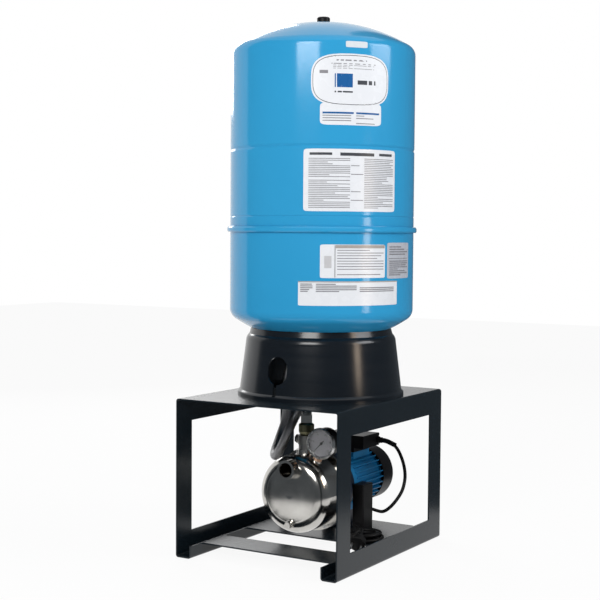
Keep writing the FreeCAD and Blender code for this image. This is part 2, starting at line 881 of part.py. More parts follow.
def ejector():
    """Venturi tube on the axis, from the casing's face to the impeller's eye."""
    outline = [
        ("nozzle_radius", "ejector_front"),
        ("ejector_radius - 3", "ejector_front"),
        ("ejector_radius - 3", "ejector_front + 20"),
        ("throat_radius + 4", "ejector_front + 30"),
        ("eye_radius + 1", "diffuser_front - 6"),
        ("eye_radius + 8", "diffuser_front - 4"),
        ("eye_radius + 8", "diffuser_front"),
        ("eye_radius - 1", "diffuser_front"),
        ("throat_radius", "ejector_front + 32"),
        ("throat_radius", "ejector_front + 24"),
        ("nozzle_radius + 3", "ejector_front + 14"),
        ("nozzle_radius", "ejector_front + 6"),
    ]
    keep(turned("ejector", outline, pump_axis, "Y"), "ejector")


def diffuser():
    """Bowl round the impeller whose rim stands on the seal plate."""
    outline = [
        ("eye_radius + 3", "diffuser_front"),
        ("diffuser_radius", "diffuser_front"),
        ("diffuser_radius", "casing_back"),
        ("diffuser_radius - diffuser_wall", "casing_back"),
        ("diffuser_radius - diffuser_wall", "diffuser_front + diffuser_wall"),
        ("eye_radius + 3", "diffuser_front + diffuser_wall"),
    ]
    bowl = turned("diffuser_bowl", outline, pump_axis, "Y")
    slots = []
    for number in range(6):
        angle = 60 * number
        way = Vector(math.cos(math.radians(angle)), 0, math.sin(math.radians(angle)))
        slots.append(
            cylinder(f"diffuser_port_{number}", "6", "diffuser_radius + 5", ("0", "casing_back - 12", "pump_height"), way)
        )
    keep(cut("diffuser", bowl, slots), "diffuser")


def impeller():
    """Closed impeller: two shrouds with swept blades between them."""
    back = "impeller_width"
    body = new_body("impeller", ("0", "impeller_front", "pump_height"), "Y")
    outline = [
        ("pump_shaft_radius", "5"),
        ("pump_shaft_radius + 5", "5"),
        ("pump_shaft_radius + 9", f"{back} - shroud_wall - 1"),
        ("impeller_radius", f"{back} - shroud_wall"),
        ("impeller_radius", back),
        ("pump_shaft_radius + 5", back),
        ("pump_shaft_radius + 5", f"{back} + 2"),
        ("pump_shaft_radius", f"{back} + 2"),
    ]
    turn_profile(body, "Revolution", outline)
    blade = [
        ("12", "-1", "impeller_radius * 0.9", 1),
        ("impeller_radius * cos(52)", "impeller_radius * sin(52) - 0.5"),
        ("impeller_radius * cos(48) - 0.5", "impeller_radius * sin(48) - 0.5", "impeller_radius * 0.9", -1),
        ("14.5", "-1.5"),
    ]
    sketch = new_sketch(body, "XY_Plane", [blade], offset="shroud_wall + 1")
    polar(body, feature(body, "Pad", sketch, f"{back} - 2 * shroud_wall - 0.5"), "blade_count")
    front = [
        ("eye_radius", "0"),
        ("eye_radius + shroud_wall", "0"),
        ("eye_radius + shroud_wall + 4", "shroud_wall + 0.4"),
        ("impeller_radius", "shroud_wall + 1"),
        ("impeller_radius", "2 * shroud_wall + 1"),
        ("eye_radius + shroud_wall", "2 * shroud_wall + 1"),
        ("eye_radius", "2 * shroud_wall"),
    ]
    turn_profile(body, "Revolution", front)
    keep(body, "impeller")


def plug_with_hex(name, thread, flats, reach, at, along):
    """A threaded plug with a collar and a hexagon head, its seat face at the placement point."""
    direction = directions[along] if isinstance(along, str) else along
    collar_height = 2
    head_height = 6

    def behind(distance):
        return [f"{text} - ({component * distance})" for text, component in zip(at, direction)]

    shank = cylinder(name + "_shank", f"{thread} - 0.05", reach, at, along)
    collar = cylinder(name + "_collar", f"{flats} / 2 + 1.5", str(collar_height), behind(collar_height), along)
    head = hexagon(name + "_hex", flats, str(head_height), behind(collar_height + head_height), along)
    return keep(fused(name, [shank, collar, head]), name)


def casing_plugs():
    """Brass priming plug on the shoulder and a drain plug low on the face."""
    inwards = Vector(-math.sin(math.radians(size("prime_angle"))), 0, -math.cos(math.radians(size("prime_angle"))))
    prime_at = ("prime_rise * sin(prime_angle)", "prime_y", "pump_height + prime_rise * cos(prime_angle)")
    plug_with_hex("priming_plug", "prime_thread", "prime_hex", "6", prime_at, inwards)
    drain_at = ("0", "drain_reach + 6", "pump_height - drain_drop")
    plug_with_hex("drain_plug", "drain_thread", "drain_hex", "7", drain_at, "Y")


def motor_adapter():
    """Cast bracket that carries the motor's front shield and closes on the clamp flange."""
    front = "casing_back + seal_plate_wall"
    outline = [
        ("clamp_radius - 22", front),
        ("clamp_radius + 1", front),
        ("clamp_radius + 1", f"{front} + adapter_flange"),
        ("clamp_circle - clamp_hex", f"{front} + adapter_flange"),
        ("fin_radius + 2", "adapter_back - adapter_neck"),
        ("fin_radius + 2", "adapter_back"),
        ("bearing_radius + 4", "adapter_back"),
        ("bearing_radius + 4", "adapter_back - adapter_wall"),
        ("fin_radius + 2 - adapter_wall", "adapter_back - adapter_wall"),
        ("fin_radius + 2 - adapter_wall", "adapter_back - adapter_neck + 2"),
    ]
    ring = turned("adapter_ring", outline, pump_axis, "Y")
    holes = []
    for number in range(8):
        angle = 45 * number + 22.5
        spot = (f"clamp_circle * cos({angle})", f"{front} - 2", f"pump_height + clamp_circle * sin({angle})")
        holes.append(cylinder(f"adapter_hole_{number}", "clamp_bolt + 0.2", "adapter_flange + 4", spot, "Y"))
    for number, side in enumerate(("X", "-X")):
        holes.append(
            cylinder(f"adapter_vent_{number}", "9", "clamp_radius", ("0", "adapter_back - 16", "pump_height"), side)
        )
    keep(cut("motor_adapter", ring, holes), "motor_adapter")


def motor_shaft():
    outline = [
        ("0", "impeller_front - 1"),
        ("pump_shaft_radius - 1", "impeller_front - 1"),
        ("pump_shaft_radius", "impeller_front"),
        ("pump_shaft_radius", "adapter_back - 8"),
        ("motor_shaft_radius", "adapter_back - 8"),
        ("motor_shaft_radius", "shaft_back - 1"),
        ("motor_shaft_radius - 1", "shaft_back"),
        ("0", "shaft_back"),
    ]
    keep(turned("motor_shaft", outline, pump_axis, "Y"), "motor_shaft")


def rotor_core():
    outline = [
        ("motor_shaft_radius", "rotor_front"),
        ("rotor_radius - 3", "rotor_front"),
        ("rotor_radius - 3", "rotor_front + 4"),
        ("rotor_radius", "rotor_front + 4"),
        ("rotor_radius", "rotor_front + rotor_length - 4"),
        ("rotor_radius - 3", "rotor_front + rotor_length - 4"),
        ("rotor_radius - 3", "rotor_front + rotor_length"),
        ("motor_shaft_radius", "rotor_front + rotor_length"),
    ]
    keep(turned("rotor_core", outline, pump_axis, "Y"), "rotor_core")


def stator_core():
    inner = "rotor_radius + air_gap"
    outline = [
        (inner, "rotor_front"),
        ("housing_bore - 6", "rotor_front - 6"),
        ("housing_bore - 3", "rotor_front"),
        ("housing_bore - 0.05", "rotor_front"),
        ("housing_bore - 0.05", "rotor_front + rotor_length"),
        ("housing_bore - 3", "rotor_front + rotor_length"),
        ("housing_bore - 6", "rotor_front + rotor_length + 6"),
        (inner, "rotor_front + rotor_length"),
    ]
    keep(turned("stator_core", outline, pump_axis, "Y"), "stator_core")


def shaft_bearings():
    rings = []
    for number, start in enumerate(("shield_back - bearing_width - 2", "housing_back - bearing_width - 1")):
        outline = [
            ("motor_shaft_radius + 0.05", start),
            ("bearing_radius - 0.05", start),
            ("bearing_radius - 0.05", f"{start} + bearing_width"),
            ("motor_shaft_radius + 0.05", f"{start} + bearing_width"),
        ]
        rings.append(turned(f"bearing_{number}", outline, pump_axis, "Y"))
    keep(grouped("shaft_bearings", rings), "shaft_bearings")


def motor_shields():
    """Cast end shields with bearing hubs; the front one is ribbed round its edge."""
    front = new_body("motor_front_shield", pump_axis, "Y")
    outline = [
        ("bearing_radius", "adapter_back"),
        ("fin_radius - 1", "adapter_back"),
        ("fin_radius - 1", "shield_back"),
        ("housing_bore", "shield_back"),
        ("housing_bore", "adapter_back + 6"),
        ("bearing_radius + 5", "adapter_back + 6"),
        ("bearing_radius + 5", "shield_back"),
        ("bearing_radius", "shield_back"),
    ]
    turn_profile(front, "Revolution", outline)
    keep(front, "motor_front_shield")
    rear = [
        ("motor_shaft_radius + 0.5", "housing_back + 1"),
        ("bearing_radius", "housing_back + 1"),
        ("bearing_radius", "housing_back - bearing_width - 1"),
        ("bearing_radius + 4", "housing_back - bearing_width - 1"),
        ("bearing_radius + 4", "housing_back - 4"),
        ("housing_bore", "housing_back - 4"),
        ("housing_bore", "housing_back"),
        ("housing_radius + 2", "housing_back"),
        ("housing_radius + 2", "housing_back + 4"),
        ("motor_shaft_radius + 0.5", "housing_back + 4"),
    ]
    keep(turned("motor_rear_shield", rear, pump_axis, "Y"), "motor_rear_shield")


def motor_housing():
    """Extruded barrel with cooling fins along it, pointing up in the body's own -Y."""
    body = new_body("motor_housing", ("0", "shield_back", "pump_height"), "Y")
    length = "housing_back - shield_back"
    ring = new_sketch(body, "XY_Plane", circles=[("0", "0", "housing_radius"), ("0", "0", "housing_bore")])
    feature(body, "Pad", ring, length)
    fin = rectangle("housing_radius - 2", "-fin_wall / 2", "fin_radius", "fin_wall / 2")
    fins = feature(body, "Pad", new_sketch(body, "XY_Plane", [fin]), length)
    polar(body, fins, "fin_count")
    seat = rectangle("-saddle_half_width", "-(fin_radius + 2)", "saddle_half_width", "-(housing_radius - 4)")
    saddle = new_sketch(body, "XY_Plane", [seat], offset="terminal_from - shield_back")
    feature(body, "Pad", saddle, "terminal_to - terminal_from")
    foot = rectangle("-foot_stem", "housing_radius - 5", "foot_stem", "fin_radius + 1")
    pads = new_sketch(body, "XY_Plane", [foot], offset="foot_from - shield_back")
    feature(body, "Pad", pads, "foot_to - foot_from")
    bore = new_sketch(body, "XY_Plane", circles=[("0", "0", "housing_bore")])
    feature(body, "Pocket", bore, reverse=True)
    keep(body, "motor_housing")


def motor_foot():
    """Cast foot between the motor and the shelf."""
    top = "pump_height - fin_radius - 1"
    pad = box("foot_pad", ("-foot_half_width", "foot_from", "plate_level"), ("foot_half_width", "foot_to", "plate_level + foot_wall"))
    stem = box("foot_block", ("-foot_stem", "foot_from + 5", "plate_level"), ("foot_stem", "foot_to - 5", top))
    relief = box("foot_relief", ("-foot_stem + 7", "foot_from", "plate_level + foot_wall"), ("foot_stem - 7", "foot_to", f"{top} - 6"))
    holes = [
        cylinder(f"foot_hole_{number}", "foot_screw + 0.3", "20", (x, y, "plate_level - 5"))
        for number, (x, y) in enumerate(foot_screw_spots())
    ]
    keep(cut("motor_foot", fused("foot_solid", [pad, stem]), [relief] + holes), "motor_foot")


def foot_screw_spots():
    reach = "(foot_half_width - 10)"
    return [(f"{side}{reach}", y) for side in ("", "-") for y in ("foot_from + 12", "foot_to - 12")]


def foot_bolts():
    bolts = []
    for number, (x, y) in enumerate(foot_screw_spots()):
        top = "plate_level + foot_wall"
        shank = cylinder(f"foot_shank_{number}", "foot_screw", "foot_wall + 0.01", (x, y, "plate_level"))
        hexed = hexagon(f"foot_head_{number}", "13", "5", (x, y, top))
        bolts.append(fused(f"foot_bolt_{number}", [shank, hexed]))
    keep(grouped("foot_bolts", bolts), "foot_bolts")


def cooling_fan():
    body = new_body("cooling_fan", ("0", "fan_front", "pump_height"), "Y")
    disc = [
        ("motor_shaft_radius", "0"),
        ("fan_hub", "0"),
        ("fan_hub", "2"),
        ("fan_radius - 6", "2"),
        ("fan_radius - 6", "4"),
        ("fan_hub", "4"),
        ("fan_hub", "fan_width"),
        ("motor_shaft_radius", "fan_width"),
    ]
    turn_profile(body, "Revolution", disc)
    blade = rectangle("fan_hub - 1", "-1", "fan_radius", "1")
    blades = feature(body, "Pad", new_sketch(body, "XY_Plane", [blade], offset="3"), "fan_width - 5")
    polar(body, blades, "fan_blades")
    keep(body, "cooling_fan")


def fan_cover():
    """Deep cover with an inlet grille in its end."""
    body = new_body("fan_cover", ("0", "housing_back", "pump_height"), "Y")
    depth = "(cover_back - housing_back)"
    outline = [
        ("cover_radius - cover_wall", "0.5"),
        ("cover_radius", "0.5"),
        ("cover_radius", f"{depth} - 5", "5", 1),
        ("cover_radius - 5", depth),
        ("0", depth),
        ("0", f"{depth} - cover_wall"),
        ("cover_radius - 5", f"{depth} - cover_wall"),
        ("cover_radius - cover_wall", f"{depth} - 5"),
    ]
    turn_profile(body, "Revolution", outline)
    slot = rectangle("18", "-1.6", "cover_radius - 9", "1.6")
    sketch = new_sketch(body, "XY_Plane", [slot], offset=depth)
    polar(body, feature(body, "Pocket", sketch, "cover_wall * 2"), "grille_ribs")
    keep(body, "fan_cover")


def terminal_box():
    """Moulded box on the motor's saddle, with its lid and the run capacitor inside."""
    low = ("terminal_left", "terminal_from", "terminal_floor")
    shell = box("terminal_block", low, ("terminal_right", "terminal_to", "terminal_lid_level"))
    neck = box(
        "terminal_neck",
        ("-saddle_half_width", "terminal_from + 2", "pump_height + fin_radius + 2"),
        ("saddle_half_width", "terminal_to - 2", "terminal_floor"),
    )
    room = box(
        "terminal_room",
        ("terminal_left + box_wall", "terminal_from + box_wall", "terminal_floor + box_wall"),
        ("terminal_right - box_wall", "terminal_to - box_wall", "terminal_lid_level + 1"),
    )
    entry_at = ("terminal_right - 10", "terminal_cable_y", "terminal_cable_z")
    entry = cylinder("terminal_entry", "cable_radius + 0.3", "20", entry_at, "X")
    keep(cut("terminal_box", fused("terminal_solid", [shell, neck]), [room, entry]), "terminal_box")
    centre = ("(terminal_left + terminal_right) / 2", "(terminal_from + terminal_to) / 2", "terminal_lid_level")
    lid = new_body("terminal_lid", centre)
    half_width = "((terminal_right - terminal_left) / 2 + 0.5)"
    half_depth = "((terminal_to - terminal_from) / 2 + 0.5)"
    plate = rectangle(f"-{half_width}", f"-{half_depth}", half_width, half_depth)
    feature(lid, "Pad", new_sketch(lid, "XY_Plane", [plate]), "terminal_top - terminal_lid_level")
    lid_height = size("terminal_top - terminal_lid_level")
    fillet(lid, "2", lambda edge: edge.CenterOfMass.z > lid_height - 0.01)
    keep(lid, "terminal_lid")
    can_at = ("terminal_left + 15", "terminal_from + 14", "terminal_floor + box_wall + capacitor_radius")
    keep(cylinder("run_capacitor", "capacitor_radius", "60", can_at, "X"), "run_capacitor")


def outlet_nipple():
    low = "pump_height + discharge_rise - 10"
    outline = [
        ("water_bore", low),
        ("nipple_radius", low),
        ("nipple_radius", "tee_level - tee_half_height"),
        ("water_bore", "tee_level - tee_half_height"),
    ]
    keep(turned("outlet_nipple", outline, ("0", "stack_y", "0")), "outlet_nipple")


def five_way_tee():
    """Brass tee: water up and down, the threaded outlet to the back, and a small port on each side."""
    low = "tee_level - tee_half_height"
    centre = ("0", "stack_y", "tee_level")
    run = cylinder("tee_run", "tee_radius", "2 * tee_half_height", ("0", "stack_y", low))
    neck = cylinder("tee_neck", "tee_half_height", "outlet_reach", centre, "Y")
    outlet_at = ("0", "stack_y + nipple_radius + running_gap", "tee_level")
    outlet = cylinder("tee_outlet", "outlet_radius", "outlet_reach - nipple_radius - running_gap", outlet_at, "Y")
    left = cylinder("tee_left", "side_port_radius", "side_port_reach", centre, "-X")
    right = cylinder("tee_right", "side_port_radius", "side_port_reach", centre, "X")
    bores = [
        cylinder("tee_water_bore", "water_bore", "4 * tee_half_height", ("0", "stack_y", f"{low} - 5")),
        cylinder("tee_outlet_bore", "outlet_bore", "outlet_reach + 5", centre, "Y"),
        cylinder("tee_left_bore", "side_port_bore", "side_port_reach + 5", centre, "-X"),
        cylinder("tee_right_bore", "side_port_bore", "side_port_reach + 5", centre, "X"),
    ]
    keep(cut("five_way_tee", fused("tee_solid", [run, neck, outlet, left, right]), bores), "five_way_tee")


def tee_plug():
    at = ("-side_port_reach", "stack_y", "tee_level")
    shank = cylinder("tee_plug_shank", "side_port_bore - 0.05", "8", ("-side_port_reach + 8", "stack_y", "tee_level"), "-X")
    hexed = hexagon("tee_plug_hex", "plug_hex", "plug_length", at, "-X")
    keep(fused("tee_plug", [shank, hexed]), "tee_plug")


def check_valve():
    """Spring check valve: hexagon body, poppet on its seat, and the spring that closes it."""
    low = "(tee_level + tee_half_height)"
    top = f"({low} + valve_body_height)"
    at = ("0", "stack_y", "0")
    outline = [
        ("water_bore - 2", low),
        ("nipple_radius - 3", low),
        ("nipple_radius", f"{low} + valve_taper"),
        ("nipple_radius", f"{top} - 4"),
        ("spigot_radius + 2", top),
        ("spigot_radius", top),
        ("spigot_radius", f"{top} + spigot_height"),
        ("seat_bore - 0.5", f"{top} + spigot_height"),
        ("seat_bore - 0.5", f"{top} - 2"),
        ("water_bore - 2", f"{top} - 2"),
        ("water_bore - 2", f"{low} + 8"),
        ("seat_bore", f"{low} + 8"),
        ("seat_bore", f"{low} + 6"),
        ("water_bore - 2", f"{low} + 4"),
    ]
    core = turned("valve_core", outline, at)
    hexed = hexagon("valve_hexagon", "valve_hex", "12", ("0", "stack_y", f"{low} + valve_taper + 1"))
    room = cylinder("valve_room", "water_bore - 2", "14", ("0", "stack_y", f"{low} + 8"))
    keep(cut("check_valve_body", fused("valve_solid", [core, hexed]), [room]), "check_valve_body")
    poppet = [
        ("0", f"{low} + 8 + running_gap"),
        ("seat_bore + 1.5", f"{low} + 8 + running_gap"),
        ("seat_bore + 1.5", f"{low} + 10.5"),
        ("2.5", f"{low} + 10.5"),
        ("2.5", f"{low} + 15"),
        ("0", f"{low} + 15"),
    ]
    keep(turned("check_valve_poppet", poppet, at), "check_valve_poppet")
    wire = size("spring_wire")
    radius = size("seat_bore - 1")
    rise = size(top) - 2 - (size(low) + 10.5) - 2 * wire - 0.2
    turns = int(size("spring_turns"))
    steps = 6 * turns

    def on_coil(step):
        angle = 2 * math.pi * turns * step / steps
        return Vector(radius * math.cos(angle), radius * math.sin(angle), rise * step / steps)

    arcs = [Part.Arc(on_coil(step), on_coil(step + 0.5), on_coil(step + 1)).toShape() for step in range(steps)]
    slope = math.atan2(rise, 2 * math.pi * radius * turns)
    section = Part.Wire(Part.makeCircle(wire, on_coil(0), Vector(0, math.cos(slope), math.sin(slope))))
    spring = document.addObject("Part::Feature", "check_valve_spring")
    spring.Shape = Part.Wire(arcs).makePipeShell([section], True, False)
    place(spring, ("0", "stack_y", f"{low} + 10.5 + 0.8"))
    keep(spring, "check_valve_spring")


def hose_end(name, at, along):
    """A crimped ferrule and the swivel nut over its neck; local height 0 is the root of the male end."""
    nut = new_body(name + "_nut", at, along)
    sketch = new_sketch(nut, "XY_Plane", [hexagon_outline("nut_flats")], offset="2 * running_gap")
    feature(nut, "Pad", sketch, "nut_height")
    bore = new_sketch(nut, "XY_Plane", circles=[("0", "0", "spigot_radius + running_gap")])
    feature(nut, "Pocket", bore, "nut_height - 3", reverse=True)
    through = new_sketch(nut, "XY_Plane", circles=[("0", "0", "nut_neck + running_gap")])
    feature(nut, "Pocket", through, reverse=True)
    tail = "(spigot_height + 0.2)"
    start = "(nut_height + 1)"
    end = f"{start} + ferrule_length"
    ring = "ferrule_radius"
    grooves = []
    for step in ("ferrule_length / 4", "ferrule_length / 2", "ferrule_length * 3 / 4"):
        middle = f"{start} + {step}"
        grooves += [(ring, f"{middle} - 1.5"), (f"{ring} - 1.2", middle), (ring, f"{middle} + 1.5")]
    outline = [
        ("hose_bore", tail),
        ("spigot_radius", tail),
        ("spigot_radius", f"{tail} + 2"),
        ("nut_neck", f"{tail} + 2"),
        ("nut_neck", start),
        (ring, start),
        *grooves,
        (ring, end),
        ("hose_radius + 0.05", end),
        ("hose_radius + 0.05", f"{end} - ferrule_grip"),
        ("hose_bore", f"{end} - ferrule_grip"),
    ]
    return nut, turned(name + "_ferrule", outline, at, along)


def hexagon_outline(flats):
    return [(f"{flats} / sqrt(3) * cos({angle})", f"{flats} / sqrt(3) * sin({angle})") for angle in range(0, 360, 60)]


def hose_ends():
    pump_end = ("0", "stack_y", "tee_level + tee_half_height + valve_body_height")
    tank_end = ("tank_x", "tank_y", f"{low_apex()} - neck_depth")
    pump_nut, pump_ferrule = hose_end("pump_end", pump_end, "Z")
    tank_nut, tank_ferrule = hose_end("tank_end", tank_end, "-Z")
    keep(pump_nut, "hose_nut_pump")
    keep(grouped("hose_ferrules", [pump_ferrule, tank_nut, tank_ferrule]), "hose_ferrules")


def rounded_path(points, share=0.45):
    """Straight runs joined by tangent arcs as large as the runs allow; prints the arcs' radii."""
    edges = []
    radii = []
    here = points[0]
    for before, corner, after in zip(points, points[1:], points[2:]):
        into = corner.sub(before)
        out = after.sub(corner)
        shorter = min(into.Length, out.Length)
        turn = into.getAngle(out)
        reach = share * shorter
        radius = reach / math.tan(turn / 2)
        into.normalize()
        out.normalize()
        start = corner.sub(Vector(into).multiply(reach))
        end = corner.add(Vector(out).multiply(reach))
        inward = Vector(out).sub(into).normalize()
        middle = corner.add(inward.multiply(radius / math.cos(turn / 2) - radius))
        edges.append(Part.LineSegment(here, start).toShape())
        edges.append(Part.Arc(start, middle, end).toShape())
        radii.append(round(radius))
        here = end
    edges.append(Part.LineSegment(here, points[-1]).toShape())
    return Part.Wire(edges), radii


def tube(name, route, radius_text):
    """A round cord or hose along a route of points picked by hand."""
    points = [Vector(*point) for point in route]
    path, radii = rounded_path(points)
    radius = size(radius_text)
    section = Part.Wire(Part.makeCircle(radius, points[0], points[1].sub(points[0])))
    made = document.addObject("Part::Feature", name)
    made.Shape = path.makePipeShell([section], True, False)
    share = made.Shape.Volume / (math.pi * radius**2 * path.Length)
    print(f"{name}: length {path.Length:.0f}, volume share {share:.3f}, radii {radii}")
    return place(made, ("0", "0", "0"))


hose_route = [
    (0, -28, 314.5),
    (0, -28, 353),
    (-20, -11, 392),
    (-63, 24, 404),
    (-97, 52, 374),
    (-107, 64, 320),
    (-114, 75.5, 262),
    (-120.5, 57.5, 221),
    (-108, 13.5, 190.5),
    (-79.5, -24.5, 191),
    (-50, -47.5, 218),
    (-28.5, -45.5, 266.5),
    (-24.5, -11, 305.5),
    (9, 14.5, 338),
    (9, 14.5, 370),
]

motor_cable_route = [
    (52, 190, 212),
    (76, 190, 212),
    (101, 195, 202),
    (121, 190, 171),
    (135, 175, 144),
    (140, 159, 123),
    (138, 148, 105),
    (124, 135, 80),
    (104, 133, 63),
    (89, 129, 65),
    (79, 119, 71),
    (79, 97, 71),
]

supply_lead_route = [
    (80, 60, 42),
    (80, 46, 42),
    (81, 32, 38),
]

supply_tail_route = [
    (99, -12, 35),
    (115, -17, 45),
    (130, -24, 57.5),
    (143.9, -39.2, 63.1),
    (148.9, -57.2, 55.9),
]


def supply_coil():
    """The coiled length of the supply cord as one ring, lying on the shelf and over the lip beside it."""
    low = "(lip_height + running_gap)"
    top = f"({low} + coil_height)"
    outline = [
        ("coil_inside + coil_corner", low),
        ("coil_outside - coil_corner", low, "coil_corner", 1),
        ("coil_outside", f"{low} + coil_corner"),
        ("coil_outside", f"{top} - coil_corner", "coil_corner", 1),
        ("coil_outside - coil_corner", top),
        ("coil_inside + coil_corner", top, "coil_corner", 1),
        ("coil_inside", f"{top} - coil_corner"),
        ("coil_inside", f"{low} + coil_corner", "coil_corner", 1),
    ]
    keep(turned("supply_coil", outline, ("coil_x", "coil_y", "0")), "supply_coil")


def supply_plug():
    """Moulded mains plug with two pins, hanging at the end of the cord in the gap before the shelf."""
    before, end = supply_tail_route[-2:]
    heading = Vector(*end).sub(Vector(*before))
    body = new_body("supply_plug", [str(value) for value in end], heading)
    outline = [
        ("0", "0"),
        ("cord_radius + 2", "0"),
        ("cord_radius + 3.5", "12"),
        ("plug_body_radius - 3", "18"),
        ("plug_body_radius", "22"),
        ("plug_body_radius", "plug_body_length - 1"),
        ("plug_body_radius - 1", "plug_body_length"),
        ("0", "plug_body_length"),
    ]
    turn_profile(body, "Revolution", outline)
    pins = [("plug_pin_spread", "0", "plug_pin_radius"), ("-plug_pin_spread", "0", "plug_pin_radius")]
    sketch = new_sketch(body, "XY_Plane", circles=pins, offset="plug_body_length - 1")
    feature(body, "Pad", sketch, "plug_pin_length")
    keep(body, "supply_plug")


def gauge():
    """Stainless dial gauge facing forward on a brass elbow from the tee."""
    centre = ("gauge_x", "0", "gauge_level")
    case = [
        ("3", "gauge_back - gauge_wall"),
        ("3", "gauge_back"),
        ("gauge_case_radius - 4", "gauge_back"),
        ("gauge_case_radius", "gauge_back - 4"),
        ("gauge_case_radius", "gauge_front + 5"),
        ("gauge_case_radius - gauge_wall", "gauge_front + 5"),
        ("gauge_case_radius - gauge_wall", "gauge_back - 4"),
        ("gauge_case_radius - 4", "gauge_back - gauge_wall"),
    ]
    keep(turned("gauge_case", case, centre, "Y"), "gauge_case")
    bezel = [
        ("dial_radius", "gauge_front"),
        ("bezel_radius - 2", "gauge_front"),
        ("bezel_radius", "gauge_front + 2"),
        ("bezel_radius", "gauge_front + 7"),
        ("gauge_case_radius + 0.1", "gauge_front + 7"),
        ("gauge_case_radius + 0.1", "gauge_front + 4"),
        ("dial_radius", "gauge_front + 2"),
    ]
    keep(turned("gauge_bezel", bezel, centre, "Y"), "gauge_bezel")
    glass = [
        ("0", "gauge_front + 2.6"),
        ("dial_radius - 0.1", "gauge_front + 2.6"),
        ("dial_radius - 0.1", "gauge_front + 4.4"),
        ("0", "gauge_front + 4.4"),
    ]
    keep(turned("gauge_glass", glass, centre, "Y"), "gauge_glass")
    dial = [
        ("1.1", "gauge_front + 8"),
        ("gauge_case_radius - gauge_wall", "gauge_front + 8"),
        ("gauge_case_radius - gauge_wall", "gauge_front + 9"),
        ("1.1", "gauge_front + 9"),
    ]
    keep(turned("gauge_dial", dial, centre, "Y"), "gauge_dial")
    pointer = new_body("gauge_pointer", ("gauge_x", "gauge_front + 5.5", "gauge_level"), "Y")
    feature(pointer, "Pad", new_sketch(pointer, "XY_Plane", circles=[("0", "0", "3")]), "1")
    needle = [
        ("9 * cos(45)", "-9 * sin(45) + 1.5"),
        ("9 * cos(45) - 1.5", "-9 * sin(45)"),
        ("-22 * cos(45)", "22 * sin(45) - 0.5"),
        ("-22 * cos(45) + 0.5", "22 * sin(45)"),
    ]
    feature(pointer, "Pad", new_sketch(pointer, "XY_Plane", [needle]), "0.8")
    feature(pointer, "Pad", new_sketch(pointer, "XY_Plane", circles=[("0", "0", "1")]), "6")
    keep(pointer, "gauge_pointer")


def gauge_elbow():
    """Brass elbow from the tee's side port that turns forward to the gauge."""
    start = ("side_port_reach", "stack_y", "tee_level")
    centre = ("gauge_x", "stack_y", "gauge_level")
    inlet = cylinder("elbow_inlet", "elbow_radius", "gauge_x - side_port_reach", start, "X")
    corner = primitive("Sphere", "elbow_corner", centre, Radius="elbow_radius + 2.5")
    outlet = cylinder("elbow_outlet", "elbow_radius", "stack_y - gauge_back", centre, "-Y")
    nut = hexagon("elbow_hex", "elbow_hex", "6", ("gauge_x", "gauge_back + 6", "gauge_level"), "-Y")
    bores = [
        cylinder("elbow_bore_in", "elbow_bore", "gauge_x - side_port_reach", start, "X"),
        cylinder("elbow_bore_out", "elbow_bore", "stack_y - gauge_back + 1", centre, "-Y"),
    ]
    keep(cut("gauge_elbow", fused("elbow_solid", [inlet, corner, outlet, nut]), bores), "gauge_elbow")


def control_box():
    """Tall moulded box on the shelf with a separate lid."""
    centre = ("(control_left + control_right) / 2", "(control_front + control_back) / 2")
    half_width = "(control_right - control_left) / 2"
    half_depth = "(control_back - control_front) / 2"

    def moulded(name, level, top):
        body = new_body(name, (*centre, level))
        plan = rectangle(f"-{half_width}", f"-{half_depth}", half_width, half_depth)
        feature(body, "Pad", new_sketch(body, "XY_Plane", [plan]), f"{top} - {level}")
        tall = size(f"{top} - {level}")
        fillet(body, "control_corner", lambda edge: abs(edge.Length - tall) < 0.01)
        return body

    base = moulded("control_box_shell", "plate_level", "control_lid_level")
    room = rectangle(
        f"-{half_width} + box_wall", f"-{half_depth} + box_wall", f"{half_width} - box_wall", f"{half_depth} - box_wall"
    )
    height = "(control_lid_level - plate_level)"
    feature(base, "Pocket", new_sketch(base, "XY_Plane", [room], offset=height), f"{height} - box_wall")
    motor_entry_at = ("control_cable_x", "control_back - 6", "control_cable_z")
    supply_entry_at = ("supply_cable_x", "control_front + 6", "supply_cable_z")
    entries = [
        cylinder("control_motor_entry", "cable_radius + 0.3", "12", motor_entry_at, "Y"),
        cylinder("control_supply_entry", "cord_radius + 0.3", "12", supply_entry_at, "-Y"),
    ]
    keep(cut("control_box", base, entries), "control_box")
    lid = moulded("control_box_lid", "control_lid_level", "control_top")
    tall = size("control_top - control_lid_level")
    fillet(lid, "2", lambda edge: edge.CenterOfMass.z > tall - 0.01)
    keep(lid, "control_box_lid")


def gland(label, cord, at, along):
    """A screwed cable gland: hexagon against the wall and a round cap, bored for its cord."""
    hexed = hexagon(label + "_hex", "gland_flats", "gland_nut", at, along)
    dome = cylinder(label + "_dome", "gland_flats / 2 - 0.5", "gland_length", at, along)
    bore = cylinder(label + "_bore", f"{cord} + 0.05", "gland_length + 1", at, along)
    return cut(label, fused(label + "_solid", [hexed, dome]), [bore])


def cable_glands():
    terminal_at = ("terminal_right", "terminal_cable_y", "terminal_cable_z")
    motor_at = ("control_cable_x", "control_back", "control_cable_z")
    supply_at = ("supply_cable_x", "control_front", "supply_cable_z")
    glands = [
        gland("terminal_gland", "cable_radius", terminal_at, "X"),
        gland("control_motor_gland", "cable_radius", motor_at, "Y"),
        gland("control_supply_gland", "cord_radius", supply_at, "-Y"),
    ]
    keep(grouped("cable_glands", glands), "cable_glands")


